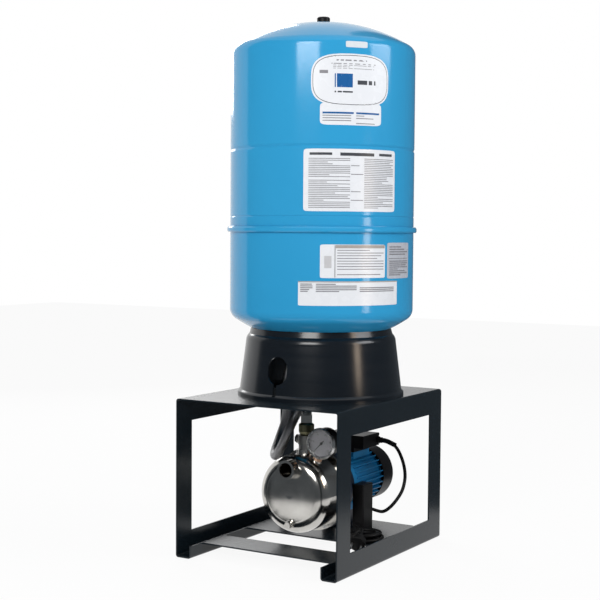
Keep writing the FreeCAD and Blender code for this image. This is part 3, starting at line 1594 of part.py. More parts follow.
stand_frame()
welded_plate("front_cross_plate", "front_plate_gap", "front_plate_depth", False)
welded_plate("pump_shelf", "shelf_gap", "shelf_depth", True)
tank_plinth()
plinth_screws()
tank_shells()
tank_clench_ring()
tank_diaphragm()
tank_inlet()
air_valve()
pump_casing()
casing_bolts()
seal_plate()
shaft_seal()
ejector()
diffuser()
impeller()
casing_plugs()
motor_adapter()
motor_shaft()
rotor_core()
stator_core()
shaft_bearings()
motor_shields()
motor_housing()
motor_foot()
foot_bolts()
cooling_fan()
fan_cover()
outlet_nipple()
five_way_tee()
tee_plug()
check_valve()
hose_ends()
gauge()
gauge_elbow()
control_box()
terminal_box()
cable_glands()
keep(tube("braided_hose", hose_route, "hose_radius"), "braided_hose")
keep(tube("motor_cable", motor_cable_route, "cable_radius"), "motor_cable")
lead = tube("supply_lead", supply_lead_route, "cord_radius")
tail = tube("supply_tail", supply_tail_route, "cord_radius")
keep(grouped("supply_cord", [lead, tail]), "supply_cord")
supply_coil()
supply_plug()

document.recompute()

for item in document.Objects:
    if "Invalid" in item.State or "Error" in item.State:
        raise RuntimeError(f"{item.Label} did not rebuild: {item.State}")
for node in nodes:
    if node.Shape.isNull() or not node.Shape.isValid():
        raise RuntimeError(f"{node.Label} has no valid shape")

os.makedirs("parts", exist_ok=True)
for node in nodes:
    node.Shape.exportStep(f"parts/{node.Label}.step")
print(len(nodes), "nodes")
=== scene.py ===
import json
import math
import random

import bpy
from mathutils import Matrix, Vector


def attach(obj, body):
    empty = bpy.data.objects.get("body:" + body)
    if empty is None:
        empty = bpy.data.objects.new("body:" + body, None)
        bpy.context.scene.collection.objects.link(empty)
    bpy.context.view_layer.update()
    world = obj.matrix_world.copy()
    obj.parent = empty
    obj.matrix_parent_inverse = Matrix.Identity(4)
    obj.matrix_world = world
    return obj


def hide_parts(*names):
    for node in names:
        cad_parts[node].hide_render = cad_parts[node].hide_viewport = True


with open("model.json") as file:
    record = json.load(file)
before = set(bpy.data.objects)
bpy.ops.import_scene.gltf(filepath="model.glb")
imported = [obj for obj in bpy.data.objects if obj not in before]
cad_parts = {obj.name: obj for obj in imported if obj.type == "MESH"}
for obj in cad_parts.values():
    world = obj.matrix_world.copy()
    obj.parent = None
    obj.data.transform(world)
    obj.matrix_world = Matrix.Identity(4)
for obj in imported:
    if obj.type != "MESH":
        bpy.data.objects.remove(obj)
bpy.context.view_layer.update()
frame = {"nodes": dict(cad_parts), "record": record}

nodes = frame["nodes"]
standShift = Vector((-0.009, -0.0145, 0.0))  # from the tank's axis to the stand's middle
pumpAxis = {"x": -0.009, "z": 0.127}
smoothUnder = math.radians(35)  # edges flatter than this are shaded smooth


def fromStand(x, y, z):
    # a place measured from the stand's middle on the floor, in metres
    return Vector((x, y, z)) + standShift


def roundTank(angle, radius, height):
    # a place round the tank's axis, its angle in degrees
    turn = math.radians(angle)
    return Vector((radius * math.cos(turn), radius * math.sin(turn), height))


def deselect():
    bpy.ops.object.select_all(action="DESELECT")


def gridFaces(first, rows, columns, flip=False):
    # the quads of a grid of points, which has columns + 1 of them in each row
    faces = []
    for row in range(rows - 1):
        for column in range(columns):
            low = first + row * (columns + 1) + column
            high = low + columns + 1
            faces.append((low, high, high + 1, low + 1) if flip else (low, low + 1, high + 1, high))
    return faces


def meshPiece(name, vertices, faces, finish):
    mesh = bpy.data.meshes.new(name)
    mesh.from_pydata(vertices, [], faces)
    mesh.update()
    piece = bpy.data.objects.new(name, mesh)
    bpy.context.collection.objects.link(piece)
    mesh.materials.append(finish)
    for face in mesh.polygons:
        face.use_smooth = True
    return piece


# Shader sums are written as expressions on wires. Each expression adds the node that it needs.
class Wire:
    def __init__(self, finish, socket):
        self.finish = finish
        self.socket = socket

    def math(self, operation, first, second):
        return self.finish.add("Math", {"operation": operation}, {0: first, 1: second})

    def __add__(self, other):
        return self.math("ADD", self, other)

    def __radd__(self, other):
        return self.math("ADD", other, self)

    def __sub__(self, other):
        return self.math("SUBTRACT", self, other)

    def __rsub__(self, other):
        return self.math("SUBTRACT", other, self)

    def __mul__(self, other):
        return self.math("MULTIPLY", self, other)

    def __rmul__(self, other):
        return self.math("MULTIPLY", other, self)

    def __pow__(self, other):
        return self.math("POWER", self, other)

    def __rpow__(self, other):
        return self.math("POWER", other, self)


class Finish:
    def __init__(self, owner):
        # the owner is a new material, or the world
        owner.use_nodes = True
        self.owner = owner
        self.tree = owner.node_tree
        self.shader = self.tree.nodes.get("Principled BSDF")

    def add(self, kind, settings=None, inputs=None, output=0):
        made = self.tree.nodes.new("ShaderNode" + kind)
        for key, value in (settings or {}).items():
            setattr(made, key, value)
        for key, value in (inputs or {}).items():
            self.feed(made.inputs[key], value)
        return Wire(self, made.outputs[output])

    def feed(self, socket, value):
        if isinstance(value, Wire):
            self.tree.links.new(value.socket, socket)
        else:
            socket.default_value = value

    def set(self, **sockets):
        for name, value in sockets.items():
            words = name.replace("_", " ").title().replace("Ior", "IOR")
            self.feed(self.shader.inputs[words], value)


def newFinish(name):
    return Finish(bpy.data.materials.new(name))


def rgb(red, green, blue):
    return (red, green, blue, 1.0)


def objectPlace(finish):
    return finish.add("TexCoord", output="Object")


def noise(finish, where, scale, detail):
    return finish.add("TexNoise", {}, {"Vector": where, "Scale": scale, "Detail": detail})


def mapped(finish, where, shift=(0, 0, 0), scale=(1, 1, 1)):
    return finish.add("Mapping", {}, {"Vector": where, "Location": shift, "Scale": scale})


def mixed(finish, factor, first, second):
    return finish.add("Mix", {"data_type": "RGBA"}, {0: factor, 6: rgb(*first), 7: rgb(*second)}, 2)


def bump(finish, height, depth):
    return finish.add("Bump", {}, {"Strength": 1.0, "Distance": depth, "Height": height})


def axes(finish, where):
    # the x, y and z of a place
    split = finish.add("SeparateXYZ", {}, {0: where})
    return [Wire(finish, socket) for socket in split.socket.node.outputs]


print("stage 1: camera, floor and lamps")

cameraSetup = {
    "place": (1.4086, -2.4159, 0.6765),
    "yaw": 31.177,
    "pitch": 2.951,
    "roll": 0.410,
    "lens": 78.33,
    "sensor": 36,
}


def setCamera():
    bpy.ops.object.camera_add()
    camera = bpy.context.object
    camera.data.lens = cameraSetup["lens"]
    camera.data.sensor_width = cameraSetup["sensor"]
    turn = Matrix.Rotation(math.radians(cameraSetup["yaw"]), 4, "Z")
    nod = Matrix.Rotation(math.radians(90 - cameraSetup["pitch"]), 4, "X")
    tilt = Matrix.Rotation(math.radians(cameraSetup["roll"]), 4, "Z")
    camera.matrix_world = Matrix.Translation(cameraSetup["place"]) @ turn @ nod @ tilt
    bpy.context.scene.camera = camera


backdrop = {"white": 1.0, "level": 0.42}  # how bright it looks, and how strong a light it is


def rayMask(finish):
    # above 0 for camera, mirror and glass rays alone
    camera = finish.add("LightPath", output="Is Camera Ray")
    glossy = finish.add("LightPath", output="Is Glossy Ray")
    through = finish.add("LightPath", output="Is Transmission Ray")
    return finish.add("Math", {"operation": "MAXIMUM"}, {0: camera, 1: glossy + through})


def setWorld():
    world = bpy.data.worlds.new("studio")
    bpy.context.scene.world = world
    finish = Finish(world)
    background = world.node_tree.nodes["Background"]
    mask = rayMask(finish)
    strength = mask * backdrop["white"] + (1 - mask) * backdrop["level"]
    finish.feed(background.inputs["Color"], rgb(1, 1, 1))
    finish.feed(background.inputs["Strength"], strength)


floorSetup = {"size": 14, "color": (0.9, 0.9, 0.9), "roughness": 0.9, "white": 0.92}


def setFloor():
    bpy.ops.mesh.primitive_plane_add(size=floorSetup["size"])
    floor = bpy.context.object
    floor.name = "studio_floor"
    finish = newFinish("floor_white")
    finish.set(base_color=rgb(*floorSetup["color"]), roughness=floorSetup["roughness"])
    lit = Wire(finish, finish.shader.outputs[0])
    glow = finish.add("Emission", {}, {"Color": rgb(1, 1, 1), "Strength": 1.0})
    seen = rayMask(finish) * floorSetup["white"]
    both = finish.add("MixShader", {}, {0: seen, 1: lit, 2: glow})
    finish.feed(finish.tree.nodes["Material Output"].inputs["Surface"], both)
    floor.data.materials.append(finish.owner)


def mirrorPiece(name, vertices, faces, setup):
    # a glowing card that only mirror rays see
    finish = newFinish(name + "_glow")
    finish.set(base_color=rgb(0, 0, 0), specular_ior_level=0.0, roughness=1.0)
    finish.set(emission_color=rgb(*setup["color"]), emission_strength=setup["power"])
    card = meshPiece(name, vertices, faces, finish.owner)
    for way in ("camera", "diffuse", "shadow", "transmission"):
        setattr(card, "visible_" + way, False)


cardSetup = {
    "sides": (-164, 110),
    "steps": 24,
    "section": ((0.55, 0.002), (4.5, 0.002), (4.5, 6.0)),  # distance and height along it
    "color": (0.10, 0.11, 0.12),
    "power": 1.0,
}


def setCard():
    # the dark studio on the floor and round the object, open at the left and the back left
    first, last = cardSetup["sides"]
    steps = cardSetup["steps"]
    vertices = []
    for number in range(steps + 1):
        angle = first + (last - first) * number / steps
        vertices += [roundTank(angle, far, height) for far, height in cardSetup["section"]]
    faces = gridFaces(0, steps + 1, len(cardSetup["section"]) - 1, True)
    mirrorPiece("studio_card", vertices, faces, cardSetup)


stripSetup = {
    "sides": (-12.0, -4.0),
    "far": 1.0,
    "rise": (0.46, 0.88),
    "color": (1.0, 0.80, 0.62),
    "power": 9,
}


def setStrip():
    # the narrow warm light at the right, whose glint runs down the plinth
    vertices = []
    for side in stripSetup["sides"]:
        vertices += [roundTank(side, stripSetup["far"], height) for height in stripSetup["rise"]]
    mirrorPiece("studio_strip", vertices, gridFaces(0, 2, 1), stripSetup)


lampFar = 3.0
lamps = {
    "front": {
        "side": -77.5, "rise": (1.36, 2.70), "width": 1.40, "power": 70, "color": (1.0, 0.99, 0.97),
    },
    "right": {
        "side": 13.5, "rise": (1.36, 2.50), "width": 1.54, "power": 42, "color": (0.97, 0.98, 1.0),
    },
    "back": {
        "side": 140.0, "rise": (1.20, 2.60), "width": 1.60, "power": 36, "color": (1.0, 1.0, 1.0),
    },
}


def addLamp(name, setup):
    low, high = setup["rise"]
    place = roundTank(setup["side"], lampFar, (low + high) / 2)
    bpy.ops.object.light_add(type="AREA", location=place)
    lamp = bpy.context.object
    lamp.name = name + "_softbox"
    lamp.data.shape = "RECTANGLE"
    lamp.data.size = setup["width"]
    lamp.data.size_y = high - low
    lamp.data.energy = setup["power"]
    lamp.data.color = setup["color"]
    lamp.rotation_euler = Vector((-place.x, -place.y, 0)).to_track_quat("-Z", "Y").to_euler()


deselect()
setCamera()
setWorld()
setFloor()
setCard()
setStrip()
for lampName, lampSetup in lamps.items():
    addLamp(lampName, lampSetup)
bpy.context.scene.view_settings.view_transform = "Standard"

print("stage 2: finishes")

# Nearly every look is a cloud between two colours, which also makes the surface duller, and a fine
# grain, which bumps it. A cloud and a grain are a noise's scale and detail, a depth is in metres.
kinds = {
    "coat": {},
    "paint": {
        "cloud": (14, 3), "duller": 0.14, "roughness": 0.26,
        "grain": (330, 4), "depth": 0.00006, "specular_ior_level": 0.25,
    },
    "metal": {
        "cloud": (55, 4), "duller": 0.18, "roughness": 0.3,
        "grain": (600, 3), "depth": 0.00008, "metallic": 1.0,
    },
    "plastic": {
        "cloud": (30, 3), "duller": 0.12, "roughness": 0.3,
        "grain": (1100, 2), "depth": 0.00002, "specular_ior_level": 0.25,
    },
}
# by material slot: the kind, the material's name and what is its own
looks = {
    "stand_black": ("coat", "black_powder", {
        "dark": (0.005, 0.010, 0.014), "light": (0.010, 0.015, 0.020),
        "cloud": (9, 3), "duller": 0.10, "roughness": 0.20,
        "grain": (420, 3), "depth": 0.00003, "specular_ior_level": 0.30,
    }),
    "plinth_black": ("coat", "black_moulding", {
        "dark": (0.003, 0.006, 0.010), "light": (0.008, 0.011, 0.015),
        "stretch": (6, 6, 90), "cloud": (1.0, 4), "duller": 0.08, "roughness": 0.16,
        "grain": (900, 2), "depth": 0.00002, "specular_ior_level": 0.42,
    }),
    "tank_blue": ("coat", "tank_enamel", {
        "dark": (0.020, 0.27, 0.53), "light": (0.034, 0.33, 0.61),
        "cloud": (2.5, 3), "duller": 0.05, "roughness": 0.11,
        "grain": (160, 2), "depth": 0.00006, "specular_ior_level": 0.40,
    }),
    "pump_navy": ("paint", "casting_navy", {
        "dark": (0.006, 0.010, 0.020), "light": (0.012, 0.020, 0.040),
    }),
    "motor_blue": ("paint", "motor_enamel", {
        "dark": (0.005, 0.13, 0.30), "light": (0.014, 0.21, 0.47), "specular_ior_level": 0.16,
    }),
    "box_black": ("plastic", "box_plastic", {
        "dark": (0.007, 0.007, 0.0075), "light": (0.010, 0.010, 0.011),
        "roughness": 0.38, "specular_ior_level": 0.16,
    }),
    "cord_black": ("plastic", "cord_rubber", {
        "dark": (0.0056, 0.0056, 0.006), "light": (0.008, 0.008, 0.0088),
        "roughness": 0.42, "grain": (700, 2), "specular_ior_level": 0.18,
    }),
    "braid": ("metal", "braid_wire", {
        "dark": (0.22, 0.22, 0.23), "light": (0.62, 0.62, 0.63),
    }),
    "zinc_steel": ("metal", "zinc_plate", {
        "dark": (0.42, 0.43, 0.45), "light": (0.62, 0.62, 0.62), "roughness": 0.25,
    }),
    "brass": ("metal", "turned_brass", {
        "dark": (0.58, 0.36, 0.24), "light": (0.80, 0.56, 0.42), "roughness": 0.22,
    }),
    # dull brass whose dark olive colour is brass darkened with painted shade
    "old_brass": ("metal", "shaded_dull_brass", {
        "dark": (0.13, 0.125, 0.075), "light": (0.32, 0.31, 0.19),
        "roughness": 0.34, "grain": (260, 3), "depth": 0.0002,
    }),
    "dial_grey": ("coat", "dial_paint", {
        "dark": (0.20, 0.196, 0.21), "light": (0.26, 0.255, 0.27),
        "cloud": (60, 3), "duller": 0.1, "roughness": 0.4, "specular_ior_level": 0.2,
    }),
    "white_plastic": ("paint", "pale_plastic", {
        "dark": (0.62, 0.61, 0.56), "light": (0.76, 0.75, 0.70),
    }),
}
# by node: pieces whose own look differs from the rest of their slot
ownLooks = {
    "five_way_tee": ("metal", "dull_nickel", {
        "dark": (0.16, 0.16, 0.155), "light": (0.40, 0.395, 0.38),
        "roughness": 0.36, "grain": (300, 3), "depth": 0.0002,
    }),
    # drawn steel: streaks that run up and down the pipe and bump it
    "outlet_nipple": ("coat", "nipple_steel", {
        "dark": (0.10, 0.10, 0.10), "light": (0.62, 0.61, 0.60),
        "stretch": (260, 260, 3), "cloud": (1.0, 2), "duller": 0.2, "roughness": 0.22,
        "depth": 0.0003, "metallic": 1.0,
    }),
    "gauge_case": ("plastic", "case_black", {
        "dark": (0.0042, 0.0042, 0.0045), "light": (0.006, 0.006, 0.0066),
    }),
    "gauge_bezel": ("metal", "bezel_steel", {
        "dark": (0.60, 0.60, 0.59), "light": (0.74, 0.74, 0.72), "roughness": 0.18,
    }),
    "hose_ferrules": ("metal", "ferrule_steel", {
        "dark": (0.10, 0.10, 0.10), "light": (0.50, 0.50, 0.49), "roughness": 0.2,
    }),
    "fan_cover": ("paint", "cover_enamel", {
        "dark": (0.005, 0.005, 0.006), "light": (0.011, 0.010, 0.011),
        "roughness": 0.3, "specular_ior_level": 0.12,
    }),
}
spun = {
    "dark": (0.272, 0.2652, 0.2516),
    "light": (0.80, 0.78, 0.74),
    "smear": (16, 4),
    "duller": 0.12,
    "rings": (900, 3),
    "ringsDuller": 0.05,
    "roughness": 0.08,
    "depth": 0.00006,
}
laminated = {"color": (0.22, 0.22, 0.23), "roughness": 0.42, "sheets": 12000, "depth": 0.0001}
glass = {
    "color": (0.96, 0.97, 0.97),
    "dust": (90, 4),
    "duller": 0.04,
    "roughness": 0.02,
    "ior": 1.3,
}


def weathered(kind, name, own):
    look = {**kinds[kind], **own}
    finish = newFinish(name)
    where = objectPlace(finish)
    stretched = mapped(finish, where, scale=look["stretch"]) if "stretch" in look else where
    cloud = noise(finish, stretched, *look["cloud"])
    finish.set(
        base_color=mixed(finish, cloud, look["dark"], look["light"]),
        roughness=cloud * look["duller"] + look["roughness"],
        **{key: look[key] for key in ("metallic", "specular_ior_level") if key in look},
    )
    if "depth" in look:
        grain = noise(finish, where, *look["grain"]) if "grain" in look else cloud
        finish.set(normal=bump(finish, grain, look["depth"]))
    return finish.owner


def spunSteel():
    # turned on the pump's axis, so the fine scratches run round it
    finish = newFinish("spun_stainless")
    where = objectPlace(finish)
    centred = mapped(finish, where, shift=(-pumpAxis["x"], 0, -pumpAxis["z"]))
    across, along, up = axes(finish, centred)
    radius = (across * across + up * up) ** 0.5
    grooves = finish.add("CombineXYZ", {}, {0: radius, 1: along})
    scratch = noise(finish, grooves, *spun["rings"])
    smear = noise(finish, where, *spun["smear"])
    finish.set(
        base_color=mixed(finish, smear, spun["dark"], spun["light"]),
        metallic=1.0,
        roughness=smear * spun["duller"] + scratch * spun["ringsDuller"] + spun["roughness"],
        normal=bump(finish, scratch, spun["depth"]),
    )
    return finish.owner


def laminations():
    finish = newFinish("laminations")
    along = axes(finish, objectPlace(finish))[1]
    sheet = finish.add("Math", {"operation": "SINE"}, {0: along * laminated["sheets"]})
    finish.set(
        base_color=rgb(*laminated["color"]),
        metallic=1.0,
        roughness=laminated["roughness"],
        normal=bump(finish, sheet, laminated["depth"]),
    )
    return finish.owner


def windowGlass():
    finish = newFinish("window_glass")
    dust = noise(finish, objectPlace(finish), *glass["dust"])
    finish.set(
        base_color=rgb(*glass["color"]),
        roughness=dust * glass["duller"] + glass["roughness"],
        transmission_weight=1.0,
        ior=glass["ior"],
    )
    return finish.owner


def dressNodes():
    for part in frame["record"]["subparts"]:
        finish = finishes.get(part["node"], finishes[part["material_slot"]])
        for slot in nodes[part["node"]].material_slots:
            slot.material = finish


finishes = {key: weathered(*look) for key, look in {**looks, **ownLooks}.items()}
finishes["stainless"] = spunSteel()
finishes["core_steel"] = laminations()
finishes["clear"] = windowGlass()
dressNodes()

print("stage 3: hose and cords")

hose = {
    "route": [
        (0, -0.028, 0.3145), (0, -0.028, 0.353), (-0.020, -0.011, 0.392),
        (-0.063, 0.024, 0.404), (-0.097, 0.052, 0.374), (-0.107, 0.064, 0.320),
        (-0.114, 0.0755, 0.262), (-0.1205, 0.0575, 0.221), (-0.108, 0.0135, 0.1905),
        (-0.0795, -0.0245, 0.191), (-0.050, -0.0475, 0.218), (-0.0285, -0.0455, 0.2665),
        (-0.0245, -0.011, 0.3055), (0.009, 0.0145, 0.338), (0.009, 0.0145, 0.370),
    ],
    "radius": 0.0100,
    "core": 0.0091,
    "coreSteps": 10,
    "lineSteps": 12,
    "strands": 24,
    "pitch": 0.062,
    "pitchSteps": 20,
    "bandWidth": 0.00273,
    "bandRise": 0.00045,
    "weave": 0.00035,
}
motorLead = {
    "route": [
        (0.052, 0.190, 0.212), (0.076, 0.190, 0.212), (0.101, 0.195, 0.202),
        (0.121, 0.190, 0.171), (0.135, 0.175, 0.144), (0.140, 0.159, 0.123),
        (0.138, 0.148, 0.105), (0.124, 0.135, 0.080), (0.104, 0.133, 0.063),
        (0.089, 0.129, 0.065), (0.079, 0.119, 0.071), (0.079, 0.097, 0.071),
    ],
    "radius": 0.0037,
    "sleeve": [
        (0.0682, 0.190, 0.212), (0.078, 0.1905, 0.2115),
        (0.090, 0.1922, 0.2068), (0.100, 0.1945, 0.2020),
    ],
    "sleeveRadius": 0.0054,
    "steps": 8,
}
supply = {
    "lead": [(0.080, 0.046, 0.042), (0.081, 0.034, 0.0415)],
    "coilMiddle": (0.119, 0.017),
    # the radius and the height of each turn
    "coilTurns": [
        (0.0384, 0.0424), (0.0314, 0.0424), (0.0244, 0.0424), (0.0244, 0.0362),
        (0.0244, 0.0300), (0.0314, 0.0300), (0.0384, 0.0300), (0.0384, 0.0362),
    ],
    "pointsPerTurn": 16,
    "startAngle": 180,
    "leaveAngle": 225,
    "tail": [
        (0.099, -0.012, 0.035), (0.115, -0.017, 0.045), (0.130, -0.024, 0.0575),
        (0.1439, -0.0392, 0.0631), (0.1489, -0.0572, 0.0559),
    ],
    "radius": 0.0032,
    "length": 1.46,
    "steps": 6,
}
plugPins = {"from": 0.0362, "length": 0.0181, "spread": 0.0095, "radius": 0.00255, "sides": 32}
curveSetup = {"order": 3, "roundness": 5}


def placed(route):
    return [fromStand(*point) for point in route]


def routeCurve(name, points, radius, steps):
    curve = bpy.data.curves.new(name, "CURVE")
    curve.dimensions = "3D"
    curve.resolution_u = steps
    curve.bevel_depth = radius
    curve.bevel_resolution = curveSetup["roundness"]
    curve.use_fill_caps = radius > 0
    spline = curve.splines.new("NURBS")
    spline.points.add(len(points) - 1)
    for spot, point in zip(spline.points, points):
        spot.co = (*point, 1.0)
    spline.order_u = curveSetup["order"]
    spline.use_endpoint_u = True
    piece = bpy.data.objects.new(name, curve)
    bpy.context.collection.objects.link(piece)
    curve.materials.append(finishes["cord_black"])
    return piece


def centreLine(points, steps):
    # points along the smooth line, read from a spline without thickness
    line = routeCurve("hose_line", points, 0.0, steps)
    seen = line.evaluated_get(bpy.context.evaluated_depsgraph_get())
    mesh = bpy.data.meshes.new_from_object(seen)
    spots = [vertex.co.copy() for vertex in mesh.vertices]
    bpy.data.objects.remove(line)
    bpy.data.meshes.remove(mesh)
    return spots


def evenly(spots, step):
    # the same line with its points one step apart
    kept = [spots[0]]
    room = step
    for first, second in zip(spots, spots[1:]):
        length = (second - first).length
        while room <= length:
            kept.append(first.lerp(second, room / length))
            room += step
        room -= length
    kept.append(spots[-1])
    return kept


def carriedFrames(spots):
    # a side and an up direction at each point, turned as little as the line allows
    frames = []
    side = None
    for number, spot in enumerate(spots):
        after = spots[min(number + 1, len(spots) - 1)]
        ahead = (after - spots[max(number - 1, 0)]).normalized()
        side = ahead.orthogonal() if side is None else side - ahead * side.dot(ahead)
        side.normalize()
        frames.append((spot, side.copy(), ahead.cross(side)))
    return frames


def makeHose():
    points = placed(hose["route"])
    core = routeCurve("hose_core", points, hose["core"], hose["coreSteps"])
    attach(core, "root")
    step = hose["pitch"] / hose["pitchSteps"]
    frames = carriedFrames(evenly(centreLine(points, hose["lineSteps"]), step))
    pairs = hose["strands"] / 2
    rise = hose["bandRise"]
    wide = hose["bandWidth"] / hose["radius"]
    band = ((-0.5, 0.0), (0.0, rise), (0.5, 0.0))  # its section: over its width, and proud
    vertices = []
    faces = []
    for strand in range(hose["strands"]):
        way = 1 if strand % 2 else -1
        start = math.tau * (strand // 2) / pairs
        faces += gridFaces(len(vertices), len(frames), len(band) - 1, way > 0)
        for number, (spot, side, up) in enumerate(frames):
            turned = way * math.tau * number * step / hose["pitch"]
            # 1 where the wire lies over the others, -1 where it lies under
            crossing = math.cos(turned * pairs + way * math.pi / 2)
            for shift, proud in band:
                spread = start + turned + way * shift * wide
                radius = hose["radius"] - hose["weave"] * (1 - crossing) + proud - rise
                vertices.append(spot + (side * math.cos(spread) + up * math.sin(spread)) * radius)
    braid = meshPiece("hose_braid", vertices, faces, finishes["braid"])
    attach(braid, "root")
    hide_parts("braided_hose")


def makeMotorLead():
    points = placed(motorLead["route"])
    lead = routeCurve("motor_lead", points, motorLead["radius"], motorLead["steps"])
    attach(lead, "root")
    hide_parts("motor_cable")
    points = placed(motorLead["sleeve"])
    sleeve = routeCurve("lead_sleeve", points, motorLead["sleeveRadius"], motorLead["steps"])
    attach(sleeve, "root")


def coilPoints():
    # each turn has its place in the coil's section and passes to the next one's as it goes round
    turns = supply["coilTurns"]
    count = supply["pointsPerTurn"]
    middle = supply["coilMiddle"]
    last = len(turns) - 1
    extra = (supply["leaveAngle"] - supply["startAngle"]) / 360
    points = []
    for number in range(round((last + extra) * count) + 1):
        share = number / count
        turn = min(int(share), last)
        part = share - turn if turn < last else 0
        pairs = zip(turns[turn], turns[min(turn + 1, last)])
        radius, height = [here * (1 - part) + there * part for here, there in pairs]
        angle = math.radians(supply["startAngle"]) + math.tau * share
        x = middle[0] + radius * math.cos(angle)
        y = middle[1] + radius * math.sin(angle)
        points.append((x, y, height))
    return points


def makeSupplyCord():
    points = placed(supply["lead"] + coilPoints() + supply["tail"])
    cord = routeCurve("supply_lead", points, supply["radius"], supply["steps"])
    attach(cord, "root")
    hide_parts("supply_cord", "supply_coil")


def cylinder(radius, depth, place, turn, sides):
    bpy.ops.mesh.primitive_cylinder_add(
        vertices=sides, radius=radius, depth=depth, location=place, rotation=turn
    )
    return bpy.context.object


def settle(piece, finish):
    # puts the place into the mesh of the selected piece and shades its flat edges smooth
    bpy.ops.object.transform_apply(location=True, rotation=True, scale=True)
    bpy.ops.object.shade_smooth_by_angle(angle=smoothUnder)
    piece.data.materials.append(finish)


def makePlugPins():
    # the metal skin of the moulded plug's two pins
    before, end = placed(supply["tail"][-2:])
    turn = Vector((0, 0, 1)).rotation_difference(end - before)
    length = plugPins["length"]
    for number, side in enumerate((-1, 1)):
        middle = Vector((side * plugPins["spread"], 0, plugPins["from"] + length / 2))
        place = end + turn @ middle
        pin = cylinder(plugPins["radius"], length, place, turn.to_euler(), plugPins["sides"])
        pin.name = f"plug_pin_{number}"
        settle(pin, finishes["zinc_steel"])
        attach(pin, "root")
        deselect()


makeHose()
makeMotorLead()
makeSupplyCord()
deselect()
makePlugPins()

print("stage 4: cooling fan")

fanWheel = {
    "front": 0.222,
    "width": 0.022,
    "hub": 0.014,
    "disc": 0.058,
    "discWall": 0.002,
    "sides": 64,
    "blades": 8,
    "bladeFrom": 0.013,
    "bladeTo": 0.052,
    "bladeStart": 0.003,
    "bladeDepth": 0.017,
    "bladeWall": 0.002,
}


def alongShaft(radius, depth, front):
    middle = fromStand(0, front + depth / 2, pumpAxis["z"])
    return cylinder(radius, depth, middle, (math.pi / 2, 0, 0), fanWheel["sides"])


def makeFan():
    front, wall = fanWheel["front"], fanWheel["discWall"]
    disc = alongShaft(fanWheel["disc"], wall, front + wall)
    made = [disc, alongShaft(fanWheel["hub"], fanWheel["width"], front)]
    inner, outer = fanWheel["bladeFrom"], fanWheel["bladeTo"]
    reach = (inner + outer) / 2
    along = front + fanWheel["bladeStart"] + fanWheel["bladeDepth"] / 2
    for number in range(fanWheel["blades"]):
        angle = math.tau * number / fanWheel["blades"]
        height = pumpAxis["z"] + reach * math.sin(angle)
        place = fromStand(reach * math.cos(angle), along, height)
        bpy.ops.mesh.primitive_cube_add(size=1, location=place, rotation=(0, -angle, 0))
        blade = bpy.context.object
        blade.scale = (outer - inner, fanWheel["bladeDepth"], fanWheel["bladeWall"])
        made.append(blade)
    for piece in made:
        piece.select_set(True)
    bpy.context.view_layer.objects.active = disc
    bpy.ops.object.join()
    fan = bpy.context.object
    fan.name = "fan_wheel"
    settle(fan, finishes["box_black"])
    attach(fan, "rotor")
    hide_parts("cooling_fan")


deselect()
makeFan()

print("stage 5: labels and prints")

tank = {"radius": 0.1955, "tangent": 1.050, "knuckle": 0.0221}
sheet = {
    "lift": 0.00025,
    "rimLift": 0.0001,
    "rimInset": (0.0030, 0.0042),
    "printLift": 0.0005,
    "columns": 14,
    "rows": 12,
    "tip": 0.9999,
    "barColumn": 4,
    # how likely a line of print is whole, how long it is otherwise, how likely it is there at all
    "wholeLine": 0.6,
    "partLine": (0.35, 0.95),
    "anyLine": 0.9,
    "seed": 7,
}
printLook = {
    "crease": (40, 2), "duller": 0.1, "roughness": 0.22, "depth": 0.0002, "specular_ior_level": 0.3,
}
inks = {
    "white": (0.71, 0.73, 0.77),
    "pale": (0.62, 0.66, 0.70),
    "silver": (0.45, 0.47, 0.52),
    "black": (0.055, 0.06, 0.07),
    "grey": (0.22, 0.22, 0.24),
    "blue": (0.012, 0.10, 0.30),
    "brown": (0.36, 0.33, 0.31),
    "light": (0.5, 0.5, 0.52),
}
